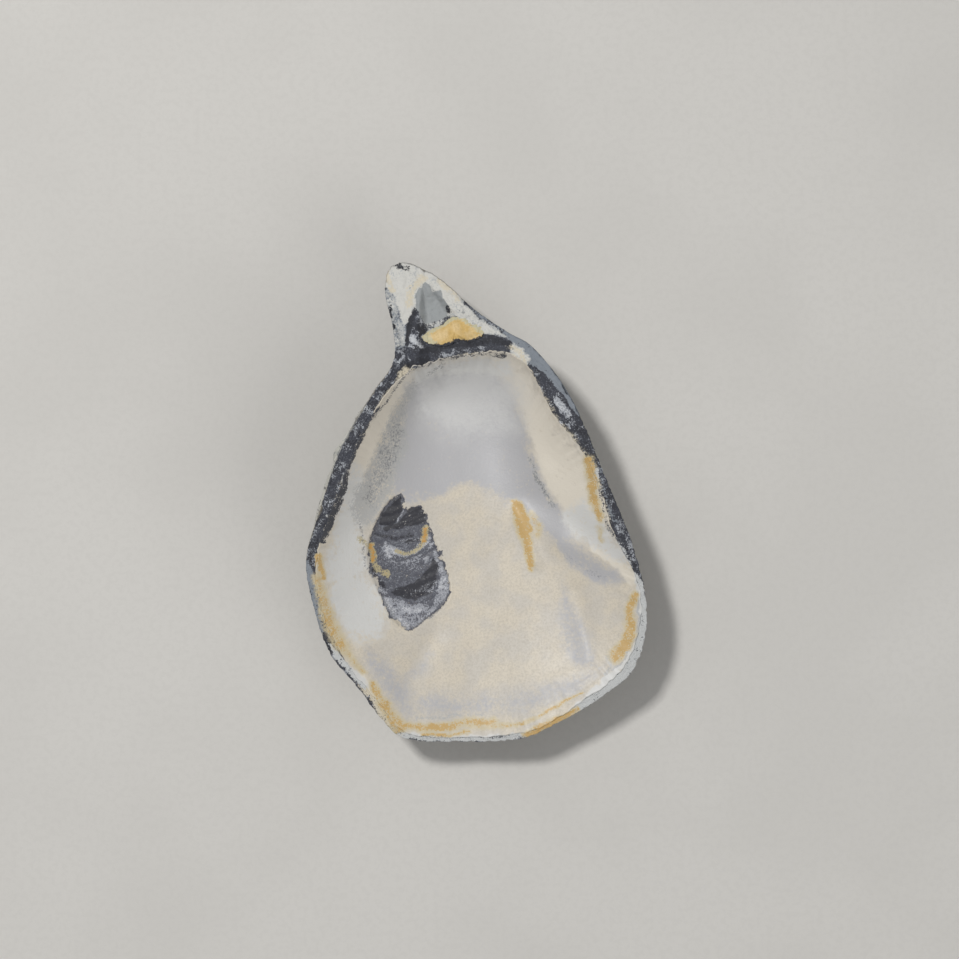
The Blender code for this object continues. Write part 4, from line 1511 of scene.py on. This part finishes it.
@dataclass
class Ligament:
    """The torn remains of the elastic hinge: a thin fibrous pad in the groove."""

    form: ShellForm
    noise: Noise
    middle: Point = (-5.4, 39.8)
    thickness: float = 1.1 * MM
    sunk: float = 0.6 * MM
    border: tuple[Point, ...] = (
        (-12.6, 38.6), (-10.8, 40.3), (-8.2, 41.6), (-5.8, 43.3), (-3.4, 43.4), (-1.4, 42.0),
        (0.6, 41.2), (1.6, 39.8), (0.5, 38.2), (-1.5, 37.4), (-3.8, 37.9), (-6.5, 36.7), (-9.0, 36.5),
        (-11.4, 37.2),
    )
    torn: Blots = (
        Stroke(((-11.2, 36.6), (-8.6, 36.6), (-6.4, 36.8), (-4.0, 37.9), (-1.6, 37.2), (0.6, 38.0)),
               0.5, 0.5, 1.3),
        Stroke(((-9.6, 41.2), (-8.0, 42.0)), 0.5, 0.5, 0.9),
    )
    columns: int = 300
    rows: int = 70

    def build(self) -> bpy.types.Object:
        """A flat dome: reach border * cos and height thickness * sin^2 of the latitude over
        the hinge plate, whose shape it follows, with torn fibres on top.

        Returns:
            The new object.
        """
        loop = Loop(self.border, np.array(self.middle) * MM)
        turn = np.arange(self.columns)[None, :] * TURN / self.columns
        latitude = (math.pi / 2 - np.arange(1, self.rows + 1) * math.pi / (self.rows + 1))[:, None]
        flat_turn = np.stack([np.cos(turn), np.sin(turn), 0 * turn], -1)
        torn = 1 + 0.07 * self.noise.rough(flat_turn, 0.12, 3)
        reach = loop.reach(turn) * torn * np.cos(latitude)
        across, along = reach * np.cos(turn), reach * np.sin(turn)
        points = loop.middle + np.stack([across, along], axis=-1)
        angle, distance = self.form.polar(points)
        outer, inner = self.form.edge.reach(angle), self.form.lining.reach(angle)
        base = self.form.margin_height(angle, (outer - distance) / (outer - inner))
        rise = np.sin(latitude)
        bulge = np.where(rise > 0, self.thickness * rise**2, -self.sunk * np.abs(rise) ** 0.5)
        spread = np.stack([across / (0.5 * MM), along / (2.2 * MM), 0 * across], -1)
        fibres = self.noise.rough(spread, 1.0, 3)
        upper = ramp(rise, 0.1, 0.5)
        height = base + bulge + upper * (0.14 * fibres + 0.10 * np.abs(fibres)) * MM
        rings = raised(points, height)
        poles = tuple(np.array((*loop.middle, height[row].mean())) for row in (0, -1))
        marks = self.marks(rings, reach / loop.reach(turn), fibres)
        return closed_body("torn_ligament", rings, marks, self.form.box, poles)

    def marks(self, rings: Array, share: Array, fibres: Array) -> dict[str, Array]:
        """A pale halo round the rim, dark torn fibres towards the hinge line, and fibres.

        Args:
            rings: places, rings by columns by three.
            share: how near the rim each place is.
            fibres: relief of the fibres.

        Returns:
            The marks by name.
        """
        points = rings[..., :2]
        moved = SurfaceMarks(self.noise).warped(points)
        upper = 1 - ramp(points[..., 0] * 0.2 - points[..., 1], -40.2 * MM, -37.5 * MM)
        return {
            Mark.HALO.value: ramp(share, 0.55, 0.95) * np.broadcast_to(upper, share.shape),
            Mark.INK.value: strokes_at(self.torn, moved),
            Mark.RELIEF.value: fibres,
        }


def linear(colour: str) -> tuple[float, float, float, float]:
    """A linear colour from an sRGB hex value.

    Args:
        colour: the value, with its hash sign.

    Returns:
        Red, green, blue and 1.
    """
    parts = [int(colour[start : start + 2], 16) / 255 for start in (1, 3, 5)]
    bent = [c / 12.92 if c <= 0.04045 else ((c + 0.055) / 1.055) ** 2.4 for c in parts]
    return (*bent, 1.0)


def add_node(
    tree: bpy.types.NodeTree, kind: str, inputs: dict | None = None, **settings: object
) -> bpy.types.Node:
    """Adds a node with its settings, values and links.

    Args:
        tree: the material's node tree.
        kind: the node's type.
        inputs: for a socket's name or number, a value or the socket that feeds it.
        settings: the node's own properties.

    Returns:
        The new node.
    """
    made = tree.nodes.new(kind)
    for name, value in settings.items():
        setattr(made, name, value)
    for key, value in (inputs or {}).items():
        if isinstance(value, Socket):
            tree.links.new(value, made.inputs[key])
        else:
            made.inputs[key].default_value = value
    return made


# Numbers of the colour mix node's sockets: share, first colour, second colour and result.
SHARE, UNDER, OVER, MIXED = 0, 6, 7, 2
# Between these values lies nearly all of the shader's noise, and its middle part.
NOISE_RANGE = (0.3, 0.7)
NOISE_MIDDLE = (0.38, 0.62)
NOISE_DETAIL = 0.65
FLECK_RAMP = 0.15
CALCITE_IOR = 1.53
COAT_ROUGHNESS = 0.22


@dataclass(frozen=True)
class Stain:
    """A colour laid where a mark is strong, its edge and its body broken up by grain.

    Grain is the size of the breaks in millimetres, spread how far noise swings the mark,
    soft how gently the colour sets in, threshold the mark's strength where it does, and
    patchy how strong the coarse noise is beside the fine one.
    """

    mark: Mark
    colour: str
    grain: float = 1.0
    spread: float = 0.4
    soft: float = 0.15
    opacity: float = 1.0
    threshold: float = 0.5
    patchy: float = 1.0

    def lay(self, tree: bpy.types.NodeTree, place: Socket, under: Socket) -> Socket:
        """Lays the colour over another where mark * (1 + 4 spread (fine + patchy * coarse)),
        both noises taken round 0, is above the threshold.

        Args:
            tree: the material's node tree.
            place: coordinates in metres.
            under: the colour below.

        Returns:
            The colour with the stain on it.
        """
        mark = add_node(tree, "ShaderNodeAttribute", attribute_name=self.mark.value).outputs["Fac"]
        fine, coarse = 4 * self.spread, 4 * self.spread * self.patchy
        total: Socket | float = 1 - (fine + coarse) / 2
        for size, swing in ((self.grain, fine), (5 * self.grain, coarse)):
            noise = add_node(
                tree, "ShaderNodeTexNoise",
                {"Vector": place, "Scale": 1 / (size * MM), "Detail": 3.0, "Roughness": NOISE_DETAIL},
            ).outputs["Fac"]
            total = add_node(
                tree, "ShaderNodeMath", {0: noise, 1: swing, 2: total}, operation="MULTIPLY_ADD",
            ).outputs[0]
        broken = add_node(tree, "ShaderNodeMath", {0: mark, 1: total}, operation="MULTIPLY").outputs[0]
        share = add_node(
            tree,
            "ShaderNodeMapRange",
            {"Value": broken, "From Min": self.threshold - self.soft,
             "From Max": self.threshold + self.soft, "To Max": self.opacity},
            interpolation_type="SMOOTHSTEP",
        ).outputs["Result"]
        return add_node(
            tree, "ShaderNodeMix", {SHARE: share, UNDER: under, OVER: linear(self.colour)},
            data_type="RGBA",
        ).outputs[MIXED]


@dataclass(frozen=True)
class Finish:
    """A shell finish: a body colour with two drifts, stains over it, gloss and grain.

    Drift, fleck and bump sizes are millimetres. Where flow names an attribute, the drift
    follows it and its size is in the attribute's own measure.
    """

    name: str
    body: str
    drift: str
    drift_size: float
    fleck: str
    fleck_size: float
    fleck_share: float
    stains: tuple[Stain, ...]
    roughness: float
    roughness_swing: float
    bump_size: float
    bump_depth: float
    coat: float = 0.0
    flow: Mark | None = None
    fleck_from: float = 0.45

    def make(self) -> bpy.types.Material:
        """Builds the material.

        Returns:
            The new material.
        """
        made = bpy.data.materials.new(self.name)
        made.use_nodes = True
        tree = made.node_tree
        shader = tree.nodes["Principled BSDF"]
        place = add_node(tree, "ShaderNodeTexCoord").outputs["Object"]
        along = place
        if self.flow:
            name = self.flow.value
            along = add_node(tree, "ShaderNodeAttribute", attribute_name=name).outputs["Vector"]
        colour = self.body_colour(tree, place, along)
        for stain in self.stains:
            colour = stain.lay(tree, place, colour)
        tree.links.new(colour, shader.inputs["Base Color"])
        grain = add_node(
            tree, "ShaderNodeTexNoise",
            {"Vector": place, "Scale": 1 / (self.bump_size * MM), "Detail": 6.0, "Roughness": NOISE_DETAIL},
        ).outputs["Fac"]
        gloss = add_node(
            tree, "ShaderNodeMapRange",
            {"Value": grain, "From Min": NOISE_RANGE[0], "From Max": NOISE_RANGE[1],
             "To Min": self.roughness - self.roughness_swing,
             "To Max": self.roughness + self.roughness_swing},
        ).outputs["Result"]
        tree.links.new(gloss, shader.inputs["Roughness"])
        bump = add_node(
            tree, "ShaderNodeBump", {"Height": grain, "Strength": 1.0, "Distance": self.bump_depth * MM}
        ).outputs["Normal"]
        tree.links.new(bump, shader.inputs["Normal"])
        shader.inputs["Metallic"].default_value = 0.0
        shader.inputs["IOR"].default_value = CALCITE_IOR
        shader.inputs["Coat Weight"].default_value = self.coat
        shader.inputs["Coat Roughness"].default_value = COAT_ROUGHNESS
        return made

    def body_colour(self, tree: bpy.types.NodeTree, place: Socket, along: Socket) -> Socket:
        """The body colour: a broad drift to a second colour and small flecks of a third.

        Args:
            tree: the material's node tree.
            place: coordinates in metres.
            along: coordinates of the drift.

        Returns:
            The colour.
        """
        scale = 1.0 if self.flow else 1 / MM
        broad = add_node(
            tree, "ShaderNodeTexNoise",
            {"Vector": along, "Scale": scale / self.drift_size, "Detail": 4.0},
        ).outputs["Fac"]
        drift = add_node(
            tree, "ShaderNodeMapRange",
            {"Value": broad, "From Min": NOISE_MIDDLE[0], "From Max": NOISE_MIDDLE[1]},
            interpolation_type="SMOOTHSTEP",
        ).outputs["Result"]
        mixed = add_node(
            tree, "ShaderNodeMix",
            {SHARE: drift, UNDER: linear(self.body), OVER: linear(self.drift)}, data_type="RGBA",
        ).outputs[MIXED]
        fine = add_node(
            tree, "ShaderNodeTexNoise",
            {"Vector": place, "Scale": 1 / (self.fleck_size * MM), "Detail": 5.0, "Roughness": 0.7},
        ).outputs["Fac"]
        share = add_node(
            tree, "ShaderNodeMapRange",
            {"Value": fine, "From Min": self.fleck_from, "From Max": self.fleck_from + FLECK_RAMP,
             "To Max": self.fleck_share},
            interpolation_type="SMOOTHSTEP",
        ).outputs["Result"]
        return add_node(
            tree, "ShaderNodeMix", {SHARE: share, UNDER: mixed, OVER: linear(self.fleck)},
            data_type="RGBA",
        ).outputs[MIXED]


# Porcelain-like foliated calcite: satin, cream with cool drifts, gold stains near the edge.
NACRE = Finish(
    name="porcelain_lining",
    body="#d2c8b6", drift="#c9c2b6", drift_size=6, fleck="#b5aea1", fleck_size=0.5, fleck_share=0.42,
    stains=(
        Stain(Mark.CREAM, "#ded6c7", 1.0, 0.5, 0.34, patchy=0.7),
        # Lavender: a cool tint, and painted shade over the recess under the hinge and the fold valleys.
        Stain(Mark.LAVENDER_AND_SHADE, "#b4b3b4", 0.9, 0.5, 0.4, patchy=0.7),
        # Painted light: paler colour at the top of the recess, set against the shade on its slope.
        Stain(Mark.PAINTED_LIGHT, "#c9c8c6", 1.0, 0.3, 0.5, patchy=0.7),
        Stain(Mark.WHITE, "#d2d1cd", 1.0, 0.55, 0.38, patchy=0.7),
        Stain(Mark.SHADE, "#b1b1af", 0.45, 0.9, 0.3, 0.85, patchy=0.6),
        Stain(Mark.GOLD, "#cbbd9b", 0.6, 0.5, 0.3, 0.85, 0.35, patchy=0.7),
        Stain(Mark.GOLD, "#c6a468", 0.4, 0.8, 0.25, 0.95, 0.8, patchy=0.7),
        Stain(Mark.SLATE, "#54555d", 0.35, 0.55, 0.12, patchy=0.5),
        Stain(Mark.SLATE, "#777a81", 0.35, 0.8, 0.12, 0.8, 1.15, patchy=0.5),
        Stain(Mark.INK, "#323238", 0.35, 0.9, 0.2, patchy=0.5),
        Stain(Mark.STREAK, "#a0a2a8", 0.35, 1.0, 0.15, 0.9, 0.6, patchy=0.5),
        Stain(Mark.STREAK, "#c6c7ca", 0.3, 0.8, 0.12, 0.9, 1.25, patchy=0.4),
        Stain(Mark.AMBER, "#b5a983", 0.35, 0.9, 0.15, 0.9, 0.5, patchy=0.5),
        Stain(Mark.AMBER, "#c09046", 0.35, 0.7, 0.15, 0.95, 1.0, patchy=0.5),
        Stain(Mark.SPECK, "#747578", 0.45, 1.1, 0.2, 0.8, patchy=0.3),
        Stain(Mark.EDGE, "#3d3f46", 0.35, 1.0, 0.08, patchy=0.7),
    ),
    roughness=0.5, roughness_swing=0.06, bump_size=0.5, bump_depth=0.08, coat=0.04,
)

# Weathered prismatic margin: dull slate layers, chalk and pale lips.
MARGIN = Finish(
    name="prismatic_margin",
    body="#2f3036", drift="#3c3e46", drift_size=3, fleck="#777a82", fleck_size=0.4, fleck_share=0.85,
    fleck_from=0.53,
    stains=(
        Stain(Mark.LIP, "#8f9194", 0.5, 0.8, 0.15, 0.8, 0.8),
        Stain(Mark.FLAKE, "#a3a6ab", 0.35, 1.0, 0.1, patchy=0.7),
        Stain(Mark.FLAKE, "#c9cbcd", 0.35, 1.0, 0.1, 0.95, 1.0, patchy=0.5),
        Stain(Mark.BLUE, "#858b92", 0.4, 0.9, 0.12, patchy=0.5),
        Stain(Mark.CHALK, "#b9bab8", 0.4, 0.9, 0.1, patchy=0.5),
        Stain(Mark.CHALK, "#d3d1ca", 0.45, 0.8, 0.15, 0.95, 0.8, patchy=0.7),
        Stain(Mark.CREAM, "#d6ccb6", 0.4, 0.9, 0.25, 0.9, patchy=0.6),
        Stain(Mark.WHITE, "#c4c5c3", 0.4, 0.9, 0.15, patchy=0.6),
        Stain(Mark.SHADE, "#8d9093", 0.4, 0.7, 0.2, 0.9),
        Stain(Mark.GROOVE, "#9da0a0", 0.35, 0.65, 0.1, patchy=0.4),
        Stain(Mark.GOLD, "#cbbd9b", 0.5, 0.8, 0.25, 0.85, 0.35, patchy=0.7),
        Stain(Mark.GOLD, "#c6a468", 0.4, 0.8, 0.25, 0.95, 0.8, patchy=0.7),
        Stain(Mark.INK, "#2c2d33", 0.35, 1.0, 0.12, patchy=0.6),
        Stain(Mark.SPECK, "#4a4c52", 0.35, 1.0, 0.1, 0.95, patchy=0.4),
    ),
    roughness=0.72, roughness_swing=0.1, bump_size=0.5, bump_depth=0.25,
)

# Chalky outside with worn pale plate edges and slate streaks that run out from the umbo.
OUTSIDE = Finish(
    name="weathered_growth_plates",
    body="#797b7d", drift="#41454e", drift_size=0.09, fleck="#a7a59d", fleck_size=1.1, fleck_share=0.65,
    stains=(
        Stain(Mark.TAN, "#857c6c", 0.9, 0.5, 0.25, 0.75, 0.62, patchy=0.6),
        Stain(Mark.RELIEF, "#a5a49d", 0.9, 0.8, 0.3, 0.7, 0.35, patchy=0.7),
        Stain(Mark.LIP, "#c2c0b7", 0.6, 0.9, 0.3, 0.9, 0.6, patchy=0.7),
        Stain(Mark.BLUE, "#868c93", 0.5, 0.8, 0.2, patchy=0.6),
    ),
    roughness=0.8, roughness_swing=0.1, bump_size=0.8, bump_depth=0.2, flow=Mark.FLOW,
)

# Horny ligament: amber-ochre protein fibres, paler and chalky round the rim, dark where torn.
LIGAMENT = Finish(
    name="horny_ligament",
    body="#d2b06b", drift="#dcc08a", drift_size=2.5, fleck="#b79b62", fleck_size=0.5, fleck_share=0.35,
    stains=(
        Stain(Mark.HALO, "#c6bf9f", 0.4, 0.8, 0.25, patchy=0.5),
        Stain(Mark.INK, "#38393f", 0.35, 0.9, 0.1, patchy=0.5),
    ),
    roughness=0.6, roughness_swing=0.1, bump_size=0.4, bump_depth=0.08,
)


@dataclass
class Studio:
    """Plain pale floor, soft light from the upper left and the camera straight above."""

    rim_height: float = 18.0 * MM
    view_width: float = 223.4 * MM
    camera_height: float = 0.8
    look_at: Point = (0.6 * MM, 5.4 * MM)
    sensor_width: float = 36.0
    floor_half: float = 0.9
    light_distance: float = 1.2
    key_elevation: float = math.radians(59)
    key_size: float = 0.16
    key_power: float = 9.0
    fill_way: tuple[float, float, float] = (0.62, -0.64, 0.48)
    fill_size: float = 0.8
    fill_power: float = 4.2
    surround: tuple[float, float, float, float] = (0.94, 0.96, 1.0, 1.0)
    surround_strength: float = 0.28

    def floor(self) -> bpy.types.Object:
        """A wide flat sheet at ground level with a matte, faintly mottled finish.

        Returns:
            The new object.
        """
        half = self.floor_half
        points = np.array([(-half, -half, 0), (half, -half, 0), (half, half, 0), (-half, half, 0)])
        mesh = bpy.data.meshes.new("pale_floor")
        mesh.from_pydata(points.tolist(), [], [(0, 1, 2, 3)])
        made = bpy.data.objects.new("pale_floor", mesh)
        bpy.context.scene.collection.objects.link(made)
        finish = Finish(
            name="matte_board", body="#cfccc6", drift="#cbc8c2", drift_size=60,
            fleck="#c5c2bc", fleck_size=1.5, fleck_share=0.3, stains=(),
            roughness=0.85, roughness_swing=0.03, bump_size=0.8, bump_depth=0.03,
        )
        mesh.materials.append(finish.make())
        return made

    def light(self, name: str, way: tuple[float, float, float], size: float, power: float) -> None:
        """A square soft light at the lights' distance from the shell, facing it.

        Args:
            name: the light's name.
            way: direction from the shell to the light.
            size: length of its side in metres.
            power: its power in watts.
        """
        lamp = bpy.data.lights.new(name, "AREA")
        lamp.size = size
        lamp.energy = power
        made = bpy.data.objects.new(name, lamp)
        bpy.context.scene.collection.objects.link(made)
        direction = np.array(way) / np.linalg.norm(way)
        made.location = tuple(direction * self.light_distance)
        back = Vector(tuple(-direction))
        made.rotation_euler = back.to_track_quat("-Z", "Y").to_euler()

    def lights(self) -> None:
        """Key from the upper left, a wide weak fill from the lower right and a pale surround."""
        flat = math.cos(self.key_elevation)
        key = (-0.72 * flat, 0.69 * flat, math.sin(self.key_elevation))
        self.light("key_light", key, self.key_size, self.key_power)
        self.light("low_fill_light", self.fill_way, self.fill_size, self.fill_power)
        world = bpy.data.worlds.new("pale_surround")
        world.use_nodes = True
        backdrop = world.node_tree.nodes["Background"]
        backdrop.inputs["Color"].default_value = self.surround
        backdrop.inputs["Strength"].default_value = self.surround_strength
        bpy.context.scene.world = world
        bpy.context.scene.view_settings.view_transform = "Standard"

    def camera(self) -> None:
        """A long lens straight above, whose frame is view_width wide at the rim's height."""
        lens = bpy.data.cameras.new("overhead_camera")
        lens.sensor_width = self.sensor_width
        lens.lens = self.sensor_width * self.camera_height / self.view_width
        made = bpy.data.objects.new("overhead_camera", lens)
        made.location = (*self.look_at, self.rim_height + self.camera_height)
        bpy.context.scene.collection.objects.link(made)
        bpy.context.scene.camera = made


def dress(piece: bpy.types.Object, finish: Finish, node: str) -> None:
    """Gives a piece its finish, hands it to the root body and hides the imported node that it stands for.

    Args:
        piece: the piece.
        finish: its finish.
        node: the imported node that it stands for, which is hidden.
    """
    piece.data.materials.append(finish.make())
    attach(piece, "root")
    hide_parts(node)
    count = len(piece.data.loops) - 2 * len(piece.data.polygons)
    LOG.info("%s: %d triangles, stands for %s", piece.name, count, node)


def main() -> None:
    """Builds the shell's layers in order, then the studio."""
    logging.basicConfig(level=logging.INFO, format="%(name)s: %(message)s")
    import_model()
    form = ShellForm(np.array([tuple(corner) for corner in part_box("shell")]))
    scar = MuscleScar()
    dress(NacreLining(form, scar, Noise(3)).build(), NACRE, "shell")
    dress(Margin(form, Noise(5)).build(), MARGIN, "shell")
    for piece in OuterWall(form, Noise(8)).build():
        dress(piece, OUTSIDE, "shell")
    dress(Ligament(form, Noise(12)).build(), LIGAMENT, "ligament")
    studio = Studio()
    studio.floor()
    studio.lights()
    studio.camera()


if __name__ == "__main__":
    main()
